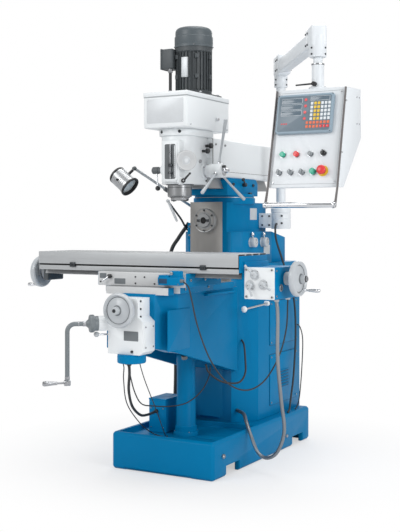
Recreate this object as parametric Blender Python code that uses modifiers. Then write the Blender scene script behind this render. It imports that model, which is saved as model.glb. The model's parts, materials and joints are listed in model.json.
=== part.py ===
# Knee-type milling machine: a vertical head on a ram, a horizontal spindle in the column, a table on a
# saddle on a knee, and a control pendant.  Metres, +Z up.  The operator stands at -Y and the table
# travels along X.  The origin is on the floor, under the axis of the vertical spindle.
import math

import bmesh
import bpy
from mathutils import Matrix, Vector

for old in list(bpy.data.objects):
    bpy.data.objects.remove(old, do_unlink=True)

# clearances
GAP = 0.0003            # between faces that rest on each other, and around a shaft in its bore
SLIDE = 0.0006          # around dovetails

# base casting
BASE_HALF = 0.287
BASE_FRONT = -0.178
BASE_REAR = 0.952
BASE_TOP = 0.183
BASE_WALL = 0.030
BASE_SKIN = 0.018
TRAY_DEPTH = 0.030
TRAY_REAR = 0.290
FORK_HEIGHT = 0.050
FORK_FRONT = (-0.045, 0.094)
FORK_BACK = (0.720, 0.860)

# column casting
WAY_FRONT = 0.270
WAY_HALF = 0.095
WAY_NECK = 0.072
WAY_DEPTH = 0.036
WAY_TOP = 1.323
FOOT_HALF = 0.227
FOOT_TOP = 1.000
FOOT_REAR = 0.949
WAIST_HALF = 0.170
WAIST_TOP = 1.168
TOP_HALF = 0.135
COLUMN_REAR = 0.700
COLUMN_WALL = 0.022
TURRET_Y = 0.470
TURRET_RADIUS = 0.165
TURRET_THICK = 0.023
CABINET_REAR = 0.877

# horizontal spindle
ARBOR_Z = 1.227
ARBOR_FLANGE = 0.062
ARBOR_RADIUS = 0.036

# ram and its saddle
RAM_HALF = 0.120
RAM_FRONT = 0.120
RAM_REAR = 0.812
RAM_LOW = 1.4465
RAM_HIGH = 1.640
RAM_WALL = 0.015
DOVE_LOW = 1.390
DOVE_WIDE = 0.100
DOVE_NARROW = 0.075

# vertical head
HEAD_HALF = 0.100
HEAD_FRONT = -0.110
HEAD_CORNER = 0.045
HEAD_LOW = 1.405
HEAD_HIGH = 1.646
NECK_TOP = 1.676
QUILL_RADIUS = 0.0605
QUILL_LOW = 1.343
QUILL_HIGH = 1.630
SPINDLE_RADIUS = 0.035
NOSE_RADIUS = 0.045
NOSE_LOW = 1.326
DRIVE_RADIUS = 0.020
COVER_HALF = 0.125
COVER_FRONT = -0.142
COVER_REAR = 0.291
COVER_TOP = 1.852
COVER_WALL = 0.006
MOTOR_Y = 0.140
MOTOR_RADIUS = 0.095
MOTOR_TOP = 2.100
COWL_TOP = 2.212
COWL_WALL = 0.005
PULLEY_Z = 1.745
SPINDLE_PULLEY = 0.062
MOTOR_PULLEY = 0.040
BELT_HEIGHT = 0.030
BELT_THICK = 0.006
CAPSTAN_Y = 0.088
CAPSTAN_Z = 1.473

# knee
KNEE_HALF = 0.165
KNEE_FRONT = -0.400
KNEE_TOP = 0.918
KNEE_FRONT_LOW = 0.640
KNEE_REAR_LOW = 0.450
KNEE_WAY_HALF = 0.172
KNEE_WALL = 0.020
KNEE_ROOF = 0.850
SCREW_Y = 0.062
SCREW_RADIUS = 0.020
PEDESTAL_RADIUS = 0.0445
PEDESTAL_TOP = 0.560
GEARBOX_FRONT = -0.500
CROSS_Z = 0.820
SHAFT_RADIUS = 0.0105
WHEEL_RADIUS = 0.080
CRANK_AT = Vector((-0.060, -0.470, 0.755))
CRANK_OUT = Vector((-math.sqrt(0.5), -math.sqrt(0.5), 0.0))
CRANK_ARM = 0.266

# saddle and table
SADDLE_HALF = 0.245
SADDLE_FRONT = -0.355
SADDLE_REAR = -0.020
TABLE_LEFT = -0.625
TABLE_RIGHT = 0.495
TABLE_FRONT = -0.325
TABLE_DEPTH = 0.280
TABLE_LOW = 0.984
TABLE_TOP = 1.073
RIB_LOW = 0.962
SLOT_WIDTH = 0.014
SLOT_WIDE = 0.024
SLOT_LIP = 0.013
SLOT_DEPTH = 0.027
SLOT_PITCH = 0.070
LEADSCREW_Z = 0.965
BOX_WIDTH = 0.150
BOX_LOW = 0.874
BOX_HIGH = 1.018
BOX_FRONT = -0.298
BOX_REAR = -0.062

# pendant
POST_AT = Vector((0.250, 0.650, 0.0))
DROP_AT = Vector((0.774, -0.082, 0.0))
POST_RADIUS = 0.025
ARM_Z = 2.050
ARM_WIDTH = 0.060
ARM_HEIGHT = 0.072
ARM_WALL = 0.006
PANEL_LEFT = 0.610
PANEL_RIGHT = 0.936
PANEL_TOP = Vector((0.0, -0.150, 1.813))
PANEL_FOOT = Vector((0.0, -0.250, 1.370))
PANEL_WALL = 0.003
HANDLE_AT = Vector((0.0, -0.290, 1.292))
STOP_STEM = 0.012

SHELF_Z = BASE_TOP + GAP
TABLE_REAR = TABLE_FRONT + TABLE_DEPTH
TABLE_MIDDLE = (TABLE_FRONT + TABLE_REAR) / 2
SADDLE_TOP = TABLE_LOW - GAP
SADDLE_LOW = KNEE_TOP + GAP
WAY_SHOULDER = WAY_FRONT + WAY_DEPTH

# colour, roughness, metallic
FINISHES = {
    "blue": ((0.0, 0.155, 0.40), 0.35, 0.0),
    "white": ((0.78, 0.79, 0.79), 0.40, 0.0),
    "silver": ((0.55, 0.56, 0.57), 0.40, 0.6),
    "ground": ((0.42, 0.42, 0.42), 0.35, 0.9),
    "steel": ((0.50, 0.50, 0.51), 0.25, 1.0),
    "motor": ((0.10, 0.13, 0.15), 0.50, 0.0),
    "black": ((0.02, 0.02, 0.02), 0.45, 0.0),
    "rubber": ((0.03, 0.03, 0.03), 0.70, 0.0),
    "grey": ((0.35, 0.37, 0.38), 0.50, 0.0),
    "slate": ((0.36, 0.46, 0.52), 0.50, 0.0),
    "green": ((0.05, 0.45, 0.30), 0.40, 0.0),
    "red": ((0.75, 0.05, 0.05), 0.40, 0.0),
}

parts = bpy.data.collections.new("milling_machine")
tools = bpy.data.collections.new("cutters")
bpy.context.scene.collection.children.link(parts)
bpy.context.scene.collection.children.link(tools)


# ---------------------------------------------------------------- making shapes
def added(name, data, finish):
    piece = bpy.data.objects.new(name, data)
    parts.objects.link(piece)
    colour, roughness, metallic = FINISHES[finish]
    material = bpy.data.materials.new(name)
    material.use_nodes = True
    shader = material.node_tree.nodes["Principled BSDF"]
    shader.inputs["Base Color"].default_value = (*colour, 1.0)
    shader.inputs["Roughness"].default_value = roughness
    shader.inputs["Metallic"].default_value = metallic
    data.materials.append(material)
    return piece


def block(name, low, high, finish="black", bevel=0.0):
    low = Vector(low)
    high = Vector(high)
    shape = bmesh.new()
    bmesh.ops.create_cube(shape, size=1.0)
    bmesh.ops.scale(shape, vec=high - low, verts=shape.verts)
    mesh = bpy.data.meshes.new(name)
    shape.to_mesh(mesh)
    shape.free()
    piece = added(name, mesh, finish)
    piece.location = (low + high) / 2
    if bevel:
        edge = piece.modifiers.new("Edges", "BEVEL")
        edge.width = bevel
        edge.segments = 1
    return piece


def rod(name, start, end, radius, finish="black", end_radius=None, sides=20):
    start = Vector(start)
    end = Vector(end)
    shape = bmesh.new()
    bmesh.ops.create_cone(
        shape, cap_ends=True, segments=sides, radius1=radius,
        radius2=radius if end_radius is None else end_radius, depth=(end - start).length)
    mesh = bpy.data.meshes.new(name)
    shape.to_mesh(mesh)
    shape.free()
    mesh.shade_smooth()
    mesh.set_sharp_from_angle(angle=math.radians(40))
    piece = added(name, mesh, finish)
    piece.location = (start + end) / 2
    piece.rotation_mode = "QUATERNION"
    piece.rotation_quaternion = (end - start).to_track_quat("Z", "Y")
    return piece


def ball(name, centre, radius, finish="black"):
    shape = bmesh.new()
    bmesh.ops.create_uvsphere(shape, u_segments=12, v_segments=8, radius=radius)
    mesh = bpy.data.meshes.new(name)
    shape.to_mesh(mesh)
    shape.free()
    mesh.shade_smooth()
    piece = added(name, mesh, finish)
    piece.location = centre
    return piece


def turned(name, profile, finish="black", base=(0, 0, 0), axis=(0, 0, 1), bored=False, steps=20):
    # profile: (radius, height) from the top, down the outer side, and back up the bore if bored
    shape = bmesh.new()
    ring = [shape.verts.new((radius, 0.0, height)) for radius, height in profile]
    for first, second in zip(ring, ring[1:]):
        shape.edges.new((first, second))
    if bored:
        shape.edges.new((ring[-1], ring[0]))
    mesh = bpy.data.meshes.new(name)
    shape.to_mesh(mesh)
    shape.free()
    piece = added(name, mesh, finish)
    screw = piece.modifiers.new("Turn", "SCREW")
    screw.steps = steps
    screw.render_steps = steps
    screw.use_merge_vertices = True
    screw.merge_threshold = 0.0001
    piece.location = base
    piece.rotation_mode = "QUATERNION"
    piece.rotation_quaternion = Vector(axis).to_track_quat("Z", "Y")
    return piece


def as_mesh(curve_piece):
    # a curve made a mesh, so that it can be cut or joined
    bpy.context.view_layer.update()
    graph = bpy.context.evaluated_depsgraph_get()
    mesh = bpy.data.meshes.new_from_object(curve_piece.evaluated_get(graph))
    shape = bmesh.new()
    shape.from_mesh(mesh)
    bmesh.ops.remove_doubles(shape, verts=shape.verts, dist=0.00001)
    bmesh.ops.recalc_face_normals(shape, faces=shape.faces)
    shape.to_mesh(mesh)
    shape.free()
    name = curve_piece.name
    matrix = curve_piece.matrix_world.copy()
    bpy.data.objects.remove(curve_piece, do_unlink=True)
    piece = bpy.data.objects.new(name, mesh)
    parts.objects.link(piece)
    piece.matrix_world = matrix
    return piece


def extruded(name, outline, along, start, end, finish="black", hole=None):
    # outline: (x, y) along z, (y, z) along x, or (x, z) along y
    curve = bpy.data.curves.new(name, "CURVE")
    curve.dimensions = "2D"
    curve.fill_mode = "BOTH"
    curve.extrude = (end - start) / 2
    for loop in (outline, hole):
        if loop:
            spline = curve.splines.new("POLY")
            spline.points.add(len(loop) - 1)
            for point, (across, up) in zip(spline.points, loop):
                point.co = (across, up, 0.0, 1.0)
            spline.use_cyclic_u = True
    piece = added(name, curve, finish)
    middle = (start + end) / 2
    if along == "x":
        piece.matrix_world = Matrix(((0, 0, 1, middle), (1, 0, 0, 0), (0, 1, 0, 0), (0, 0, 0, 1)))
    elif along == "y":
        piece.matrix_world = Matrix(((1, 0, 0, 0), (0, 0, -1, middle), (0, 1, 0, 0), (0, 0, 0, 1)))
    else:
        piece.matrix_world = Matrix.Translation((0, 0, middle))
    return as_mesh(piece)


def pipe(name, points, radius, finish="black", fineness=2):
    curve = bpy.data.curves.new(name, "CURVE")
    curve.dimensions = "3D"
    curve.bevel_depth = radius
    curve.bevel_resolution = fineness
    curve.use_fill_caps = True
    spline = curve.splines.new("POLY")
    spline.points.add(len(points) - 1)
    for point, place in zip(spline.points, points):
        point.co = (*place, 1.0)
    return added(name, curve, finish)


def smooth(points, between):
    # a smooth curve through the points
    points = [Vector(point) for point in points]
    ends = [2 * points[0] - points[1]] + points + [2 * points[-1] - points[-2]]
    route = []
    for before, here, there, after in zip(ends, ends[1:], ends[2:], ends[3:]):
        for step in range(between):
            t = step / between
            route.append(0.5 * (
                2 * here + (there - before) * t
                + (2 * before - 5 * here + 4 * there - after) * t * t
                + (3 * here - before - 3 * there + after) * t ** 3))
    return route + [points[-1]]


def hide(tool):
    for collection in list(tool.users_collection):
        collection.objects.unlink(tool)
    tools.objects.link(tool)
    tool.hide_render = True
    tool.display_type = "WIRE"


def combine(piece, operation, others):
    for other in others:
        change = piece.modifiers.new(operation.title(), "BOOLEAN")
        change.operation = operation
        change.solver = "EXACT"
        change.object = other
        hide(other)
    return piece


def cut(piece, *cutters):
    return combine(piece, "DIFFERENCE", cutters)


def join(piece, *others):
    return combine(piece, "UNION", others)


def arc(centre, radius, start, end, steps):
    # points on a circle, angles in degrees
    points = []
    for step in range(steps + 1):
        angle = math.radians(start + (end - start) * step / steps)
        points.append((centre[0] + radius * math.cos(angle), centre[1] + radius * math.sin(angle)))
    return points


def mirrored(half):
    # a closed outline from its +X half, listed from one end to the other
    return half + [(-across, up) for across, up in reversed(half)]


def inset(outline, wall):
    # the same outline moved inwards by a wall; the outline runs clockwise or anticlockwise
    area = sum(a[0] * b[1] - b[0] * a[1] for a, b in zip(outline, outline[1:] + outline[:1]))
    side = 1.0 if area > 0 else -1.0
    lines = []
    for a, b in zip(outline, outline[1:] + outline[:1]):
        along = Vector((b[0] - a[0], b[1] - a[1])).normalized()
        inward = Vector((-along.y, along.x)) * side * wall
        lines.append((Vector(a) + inward, along))
    corners = []
    for (start, along), (other, across) in zip(lines[-1:] + lines[:-1], lines):
        turn = along.x * across.y - along.y * across.x
        reach = ((other.x - start.x) * across.y - (other.y - start.y) * across.x) / turn
        corners.append(tuple(start + along * reach))
    return corners


def carrier(name, place, parent=None):
    # an empty on a joint's axis, which carries the pieces that move with that joint
    empty = bpy.data.objects.new(name, None)
    parts.objects.link(empty)
    empty.location = place
    if parent:
        empty.parent = parent
        empty.matrix_parent_inverse = world_of[parent.name].inverted()
    world_of[name] = Matrix.Translation(place)
    return empty


def carry(empty, *pieces):
    for piece in pieces:
        piece.parent = empty
        piece.matrix_parent_inverse = world_of[empty.name].inverted()


world_of = {}


# ---------------------------------------------------------------- base and column
def make_base():
    inner_half = BASE_HALF - BASE_WALL
    pocket_top = BASE_TOP - TRAY_DEPTH - BASE_SKIN
    base = block("base", (-BASE_HALF, BASE_FRONT, 0), (BASE_HALF, BASE_REAR, BASE_TOP), "blue", 0.012)
    tray_edge = BASE_HALF - 0.025
    cut(base, block(
        "tray", (-tray_edge, BASE_FRONT + 0.025, BASE_TOP - TRAY_DEPTH),
        (tray_edge, TRAY_REAR, BASE_TOP + 0.02)))
    for side in (-1, 1):
        low, high = sorted((side * BASE_WALL, side * inner_half))
        cut(
            base,
            block("pocket", (low, BASE_FRONT + BASE_WALL, -0.02), (high, TRAY_REAR + 0.04, pocket_top)),
            block("rear_pocket", (low, TRAY_REAR + 0.03, -0.02),
                  (high, BASE_REAR - BASE_WALL, BASE_TOP - BASE_SKIN)))
        for front, back in (FORK_FRONT, FORK_BACK):
            low, high = sorted((side * (inner_half - 0.01), side * (BASE_HALF + 0.02)))
            cut(base, block("fork", (low, front, -0.02), (high, back, FORK_HEIGHT)))
    cut(base, block("toe", (-0.21, BASE_FRONT - 0.02, -0.02), (0.16, BASE_FRONT + BASE_WALL + 0.01, 0.010)))
    return base


def make_column():
    shoulder = 0.128
    foot = mirrored([(shoulder, WAY_SHOULDER), (FOOT_HALF, 0.420), (FOOT_HALF, FOOT_REAR)])
    waist = mirrored([(shoulder - 0.001, WAY_SHOULDER + 0.001), (WAIST_HALF, 0.350),
                      (WAIST_HALF, COLUMN_REAR)])
    top = mirrored([(0.100, WAY_SHOULDER + 0.002), (TOP_HALF, 0.420), (TOP_HALF, COLUMN_REAR - 0.001)])
    way = mirrored([(WAY_HALF, WAY_FRONT), (WAY_NECK, WAY_SHOULDER), (WAY_NECK, WAY_SHOULDER + 0.02)])
    column = extruded("column", foot, "z", SHELF_Z, FOOT_TOP)
    recolour(column, "blue")
    join(
        column,
        extruded("waist", waist, "z", FOOT_TOP - 0.01, WAIST_TOP),
        extruded("neck", top, "z", WAIST_TOP - 0.01, WAY_TOP - 0.001),
        extruded("way", way, "z", SHELF_Z + 0.03, WAY_TOP),
        rod("turret_seat", (0, TURRET_Y, WAY_TOP - 0.01), (0, TURRET_Y, WAY_TOP + TURRET_THICK),
            TURRET_RADIUS, sides=32),
        rod("arbor_flange", (0, WAY_FRONT - 0.022, ARBOR_Z), (0, WAY_FRONT + 0.01, ARBOR_Z),
            ARBOR_FLANGE, sides=24))
    wall = COLUMN_WALL
    foot_hole = mirrored([(shoulder - wall, WAY_SHOULDER + wall + 0.01), (FOOT_HALF - wall, 0.430 + wall / 2),
                          (FOOT_HALF - wall, FOOT_REAR - wall)])
    waist_hole = mirrored([(0.070, WAY_SHOULDER + wall + 0.01), (TOP_HALF - wall, 0.430),
                           (TOP_HALF - wall, COLUMN_REAR - wall)])
    cut(
        column,
        extruded("foot_hollow", foot_hole, "z", SHELF_Z - 0.02, FOOT_TOP - wall),
        extruded("waist_hollow", waist_hole, "z", FOOT_TOP - 0.06, WAY_TOP - wall),
        rod("arbor_bore", (0, WAY_FRONT - 0.04, ARBOR_Z), (0, 0.45, ARBOR_Z), ARBOR_RADIUS + GAP, sides=24))
    return column


def recolour(piece, finish):
    # a piece that was a curve gets its material again
    colour, roughness, metallic = FINISHES[finish]
    material = bpy.data.materials.new(piece.name)
    material.use_nodes = True
    shader = material.node_tree.nodes["Principled BSDF"]
    shader.inputs["Base Color"].default_value = (*colour, 1.0)
    shader.inputs["Roughness"].default_value = roughness
    shader.inputs["Metallic"].default_value = metallic
    piece.data.materials.clear()
    piece.data.materials.append(material)


def make_rear_cabinet():
    front = COLUMN_REAR + GAP
    low = FOOT_TOP + GAP
    side = [(front, low), (CABINET_REAR, low), (CABINET_REAR, 1.135), (front, WAIST_TOP)]
    cabinet = extruded("rear_cabinet", side, "x", -WAIST_HALF, WAIST_HALF)
    recolour(cabinet, "blue")
    wall = 0.004
    cut(cabinet, block(
        "cabinet_hollow", (-WAIST_HALF + wall, front - 0.01, low + wall),
        (WAIST_HALF - wall, CABINET_REAR - wall, 1.127)))
    return cabinet


def make_pedestal():
    floor = BASE_TOP - TRAY_DEPTH + GAP
    bore = SCREW_RADIUS + GAP
    return turned("screw_pedestal", [
        (bore, PEDESTAL_TOP), (PEDESTAL_RADIUS, PEDESTAL_TOP), (PEDESTAL_RADIUS, floor + 0.050),
        (0.055, floor + 0.045), (0.055, floor + 0.022), (0.062, floor + 0.020), (0.062, floor),
        (bore, floor)], "blue", (0, SCREW_Y, 0), bored=True)


def make_sump_box():
    floor = BASE_TOP - TRAY_DEPTH + GAP
    box = block("sump_box", (-0.200, 0.030, floor), (-0.100, 0.200, 0.325), "blue", 0.004)
    cut(box, block("sump_hollow", (-0.196, 0.034, floor - 0.01), (-0.104, 0.196, 0.321)))
    return box


def make_arm_bracket():
    bracket = block("arm_bracket", (TOP_HALF + GAP, 0.610, 1.187), (0.230, 0.690, 1.267), "white", 0.003)
    join(bracket, rod("post_socket", (*POST_AT.xy, 1.182), (*POST_AT.xy, 1.295), 0.054))
    cut(bracket, rod("socket_bore", (*POST_AT.xy, 1.250), (*POST_AT.xy, 1.310), POST_RADIUS + GAP))
    return bracket


def make_arbor():
    nose = WAY_FRONT - 0.034
    spindle = turned("horizontal_spindle", [
        (0, 0.30), (0.020, 0.30), (0.020, 0.16), (ARBOR_RADIUS, 0.155), (ARBOR_RADIUS, 0),
        (0.017, 0), (0.010, 0.075), (0, 0.075)], "steel", (0, nose, ARBOR_Z), (0, 1, 0))
    return spindle


def make_speed_lever(name, along, finish="silver"):
    height = 1.112
    side = WAIST_HALF + GAP
    lever = rod(name, (side, along, height), (side + 0.034, along, height), 0.026, finish)
    join(
        lever,
        rod("stem", (side + 0.014, along, height + 0.02), (side + 0.014, along - 0.006, height + 0.040), 0.005,
            sides=10),
        ball("tip", (side + 0.014, along - 0.007, height + 0.044), 0.011))
    return lever


def make_column_lever():
    hub = Vector((FOOT_HALF + GAP, 0.500, 0.790))
    elbow = hub + Vector((0.024, 0, 0))
    tip = Vector((0.262, 0.190, 0.782))
    lever = rod("column_lever", hub, elbow, 0.013, "white")
    return join(lever, rod("arm", elbow - Vector((0.008, 0, 0)), tip, 0.006, sides=10), ball("tip", tip, 0.016))


# ---------------------------------------------------------------- ram and head
def make_ram_saddle():
    seat = WAY_TOP + TURRET_THICK + GAP
    top = RAM_LOW - GAP
    saddle = rod("ram_saddle", (0, TURRET_Y, seat), (0, TURRET_Y, seat + 0.020), TURRET_RADIUS - 0.006,
                 "blue", sides=32)
    side = [(0.270, seat + 0.012), (0.270, top - 0.012), (0.290, top), (0.600, top), (0.620, top - 0.02),
            (0.620, seat + 0.012)]
    join(saddle, extruded("saddle_block", side, "x", -0.125, 0.125))
    wide = DOVE_WIDE + SLIDE
    narrow = DOVE_NARROW + SLIDE
    slot = [(-narrow, RAM_LOW + 0.004), (narrow, RAM_LOW + 0.004), (wide, DOVE_LOW - GAP), (-wide, DOVE_LOW - GAP)]
    cut(saddle, extruded("ram_slot", slot, "y", 0.20, 0.72))
    return saddle


def make_ram():
    front = RAM_FRONT + GAP
    ram = block("ram", (-RAM_HALF, front, RAM_LOW), (RAM_HALF, RAM_REAR, RAM_HIGH), "white", 0.010)
    slope = (DOVE_WIDE - DOVE_NARROW) / (RAM_LOW - DOVE_LOW)
    narrow = DOVE_NARROW - 0.008 * slope
    tail = [(-narrow, RAM_LOW + 0.008), (narrow, RAM_LOW + 0.008), (DOVE_WIDE, DOVE_LOW), (-DOVE_WIDE, DOVE_LOW)]
    join(ram, extruded("dovetail", tail, "y", front + 0.002, RAM_REAR - 0.012))
    cut(ram, block(
        "ram_hollow", (-RAM_HALF + RAM_WALL, front - 0.02, RAM_LOW + RAM_WALL),
        (RAM_HALF - RAM_WALL, RAM_REAR - RAM_WALL, RAM_HIGH - RAM_WALL)))
    return ram


def make_head_body():
    corner = HEAD_CORNER
    half = arc((HEAD_HALF - corner, HEAD_FRONT + corner), corner, -90, 0, 4) + [(HEAD_HALF, RAM_FRONT)]
    body = extruded("head_body", mirrored(half), "z", HEAD_LOW, HEAD_HIGH)
    recolour(body, "white")
    out = Vector((math.sqrt(0.5), -math.sqrt(0.5), 0))
    boss = Vector((0, 0, 1.517))
    join(
        body,
        block("neck", (-0.118, -0.118, RAM_HIGH + GAP), (0.118, 0.165, NECK_TOP - GAP)),
        rod("worm_boss", boss + out * 0.088, boss + out * 0.139, 0.042))
    cut(
        body,
        rod("quill_bore", (0, 0, HEAD_LOW - 0.02), (0, 0, NECK_TOP + 0.02), QUILL_RADIUS + GAP, sides=32),
        block("stop_window", (-0.020, HEAD_FRONT - 0.02, 1.430), (0.045, HEAD_FRONT + 0.018, 1.596)),
        rod("pinion_bore", (0.0, CAPSTAN_Y, CAPSTAN_Z), (HEAD_HALF + 0.02, CAPSTAN_Y, CAPSTAN_Z),
            0.012 + GAP))
    return body


def make_head_cover():
    wall = COVER_WALL
    cover = block("head_cover", (-COVER_HALF, COVER_FRONT, NECK_TOP), (COVER_HALF, COVER_REAR, COVER_TOP),
                  "white", 0.010)
    cut(
        cover,
        block("cover_hollow", (-COVER_HALF + wall, COVER_FRONT + wall, NECK_TOP + wall),
              (COVER_HALF - wall, COVER_REAR - wall, COVER_TOP - wall)),
        rod("sleeve_hole", (0, 0, NECK_TOP - 0.02), (0, 0, NECK_TOP + 0.02), 0.034),
        rod("motor_hole", (0, MOTOR_Y, COVER_TOP - 0.02), (0, MOTOR_Y, COVER_TOP + 0.02), 0.030))
    return cover


def make_motor():
    foot = COVER_TOP + GAP
    body = block("motor_body", (-0.105, MOTOR_Y - 0.105, foot), (0.105, MOTOR_Y + 0.105, foot + 0.010), "motor")
    join(
        body,
        rod("barrel", (0, MOTOR_Y, foot + 0.005), (0, MOTOR_Y, MOTOR_TOP), MOTOR_RADIUS, sides=28),
        block("terminal_box", (-0.165, 0.040, 1.990), (-0.075, 0.135, 2.096)),
        rod("lead_pipe", (-0.097, 0.052, 2.000), (-0.097, 0.052, foot + 0.004), 0.008, sides=10))
    cut(
        body,
        rod("stator_bore", (0, MOTOR_Y, foot - 0.02), (0, MOTOR_Y, MOTOR_TOP - 0.02), 0.045),
        rod("rear_bore", (0, MOTOR_Y, MOTOR_TOP - 0.03), (0, MOTOR_Y, MOTOR_TOP + 0.02), 0.012 + GAP))
    cowl_foot = MOTOR_TOP + GAP
    outer = MOTOR_RADIUS + 0.003
    inner = outer - COWL_WALL
    dome = arc((outer - 0.035, COWL_TOP - 0.035), 0.035, 90, 0, 4)
    hollow = arc((outer - 0.035, COWL_TOP - 0.035), 0.035 - COWL_WALL, 0, 90, 4)
    cowl = turned("motor_cowl", [(0, COWL_TOP)] + dome + [(outer, cowl_foot), (inner, cowl_foot)] + hollow
                  + [(0, COWL_TOP - COWL_WALL)], "motor", (0, MOTOR_Y, 0), steps=28)
    groove = PULLEY_Z + BELT_HEIGHT / 2
    rotor = turned("motor_rotor", [
        (0, 2.160), (0.020, 2.160), (0.020, 2.150), (0.080, 2.150), (0.080, 2.118), (0.012, 2.116),
        (0.012, 2.070), (0.044, 2.065), (0.044, 1.890), (0.014, 1.885), (0.014, groove + 0.022),
        (MOTOR_PULLEY + 0.006, groove + 0.022), (MOTOR_PULLEY + 0.006, groove + 0.017),
        (MOTOR_PULLEY, groove + 0.0155), (MOTOR_PULLEY, groove - 0.0155),
        (MOTOR_PULLEY + 0.006, groove - 0.017), (MOTOR_PULLEY + 0.006, groove - 0.022), (0, groove - 0.022)],
        "steel", (0, MOTOR_Y, 0))
    return body, cowl, rotor


def belt_loop(extra):
    # a loop round both pulleys, so far outside them
    big = SPINDLE_PULLEY + extra
    small = MOTOR_PULLEY + extra
    lean = math.degrees(math.acos((big - small) / MOTOR_Y))
    return (arc((0, 0), big, 90 + lean, 450 - lean, 20)
            + arc((0, MOTOR_Y), small, 450 - lean, 450 + lean, 12))


def make_drive():
    bore = DRIVE_RADIUS + GAP
    groove = PULLEY_Z + BELT_HEIGHT / 2
    rim = SPINDLE_PULLEY + 0.006
    pulley = turned("spindle_pulley", [
        (bore, 1.822), (0.028, 1.822), (0.028, groove + 0.022), (rim, groove + 0.022), (rim, groove + 0.017),
        (SPINDLE_PULLEY, groove + 0.0155), (SPINDLE_PULLEY, groove - 0.0155), (rim, groove - 0.017),
        (rim, groove - 0.022), (0.028, groove - 0.022), (0.028, 1.660), (bore, 1.660)],
        "steel", bored=True)
    belt = extruded("drive_belt", belt_loop(GAP + BELT_THICK), "z", PULLEY_Z, PULLEY_Z + BELT_HEIGHT,
                    hole=belt_loop(GAP + 0.0008))
    recolour(belt, "rubber")
    bore = SPINDLE_RADIUS + GAP
    quill = turned("quill", [
        (bore, QUILL_HIGH), (QUILL_RADIUS, QUILL_HIGH), (QUILL_RADIUS, QUILL_LOW + 0.003),
        (QUILL_RADIUS - 0.003, QUILL_LOW), (bore, QUILL_LOW)], "ground", bored=True, steps=32)
    spindle = turned("vertical_spindle", [
        (0, 1.842), (DRIVE_RADIUS, 1.842), (DRIVE_RADIUS, QUILL_HIGH - 0.002),
        (SPINDLE_RADIUS, QUILL_HIGH - 0.004), (SPINDLE_RADIUS, QUILL_LOW - GAP),
        (NOSE_RADIUS, QUILL_LOW - GAP), (NOSE_RADIUS, NOSE_LOW), (0.022, NOSE_LOW),
        (0.012, NOSE_LOW + 0.090), (0, NOSE_LOW + 0.090)], "steel")
    return pulley, belt, quill, spindle


def make_capstan():
    face = HEAD_HALF + GAP
    centre = Vector((0, CAPSTAN_Y, CAPSTAN_Z))
    capstan = turned("capstan", [
        (0, 0.128), (0.009, 0.128), (0.012, 0.122), (0.012, 0.104), (0.034, 0.100), (0.036, 0.094),
        (0.036, 0.028), (0.030, 0.024), (0.030, 0), (0.012, 0), (0.012, -0.078), (0, -0.078)],
        "white", centre + Vector((face, 0, 0)), (1, 0, 0))
    for angle in (87, 207, 327):
        out = Vector((0, math.cos(math.radians(angle)), math.sin(math.radians(angle))))
        start = centre + Vector((face + 0.070, 0, 0)) + out * 0.018
        end = centre + Vector((face + 0.105, 0, 0)) + out * 0.255
        join(capstan, rod("spoke", start, end, 0.0055, end_radius=0.0095, sides=10))
    return capstan


def make_head_levers():
    side = -HEAD_HALF - GAP
    height = 1.478
    feed = rod("power_feed_lever", (side, 0, height), (side - 0.050, 0, height), 0.016, "black")
    join(
        feed,
        rod("arm", (side - 0.030, 0, height - 0.004), (side - 0.020, -0.012, height - 0.088), 0.004, sides=10),
        ball("tip", (side - 0.020, -0.012, height - 0.090), 0.013))
    out = Vector((math.cos(math.radians(56.25)), -math.sin(math.radians(56.25)), 0))
    flat = HEAD_CORNER * math.cos(math.radians(11.25))
    hub = Vector((HEAD_HALF - HEAD_CORNER, HEAD_FRONT + HEAD_CORNER, 1.4185)) + out * (flat + GAP)
    clamp = rod("quill_clamp_lever", hub, hub + out * 0.018, 0.011, "black")
    join(clamp, rod("arm", hub + out * 0.012, hub + out * 0.018 + Vector((0.030, 0.010, 0.034)), 0.005,
                    end_radius=0.004, sides=10))
    return feed, clamp


def make_lamp():
    base = Vector((-TOP_HALF - GAP, 0.450, 1.285))
    pivot = base + Vector((-0.020, 0, 0))
    knuckle = Vector((-0.300, 0.050, 1.495))
    arm = rod("lamp_arm", base, base + Vector((-0.028, 0, 0)), 0.018, "grey")
    join(arm, rod("reach", pivot, knuckle, 0.006, sides=10), ball("end", knuckle, 0.011))
    look = Vector((0.785, 0.0, -0.620)).normalized()
    centre = Vector((-0.360, 0.030, 1.436))
    shade = turned("lamp_shade", [
        (0, 0), (0.040, -0.004), (0.048, -0.012), (0.048, -0.090), (0.055, -0.094), (0.055, -0.118),
        (0.046, -0.118), (0.040, -0.060), (0, -0.060)], "silver", centre - look * 0.055, -look)
    lug = knuckle + (centre - knuckle).normalized() * 0.0118
    join(shade, rod("lug", lug, centre + (knuckle - centre) * 0.50, 0.007, sides=10))
    return arm, shade


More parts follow.
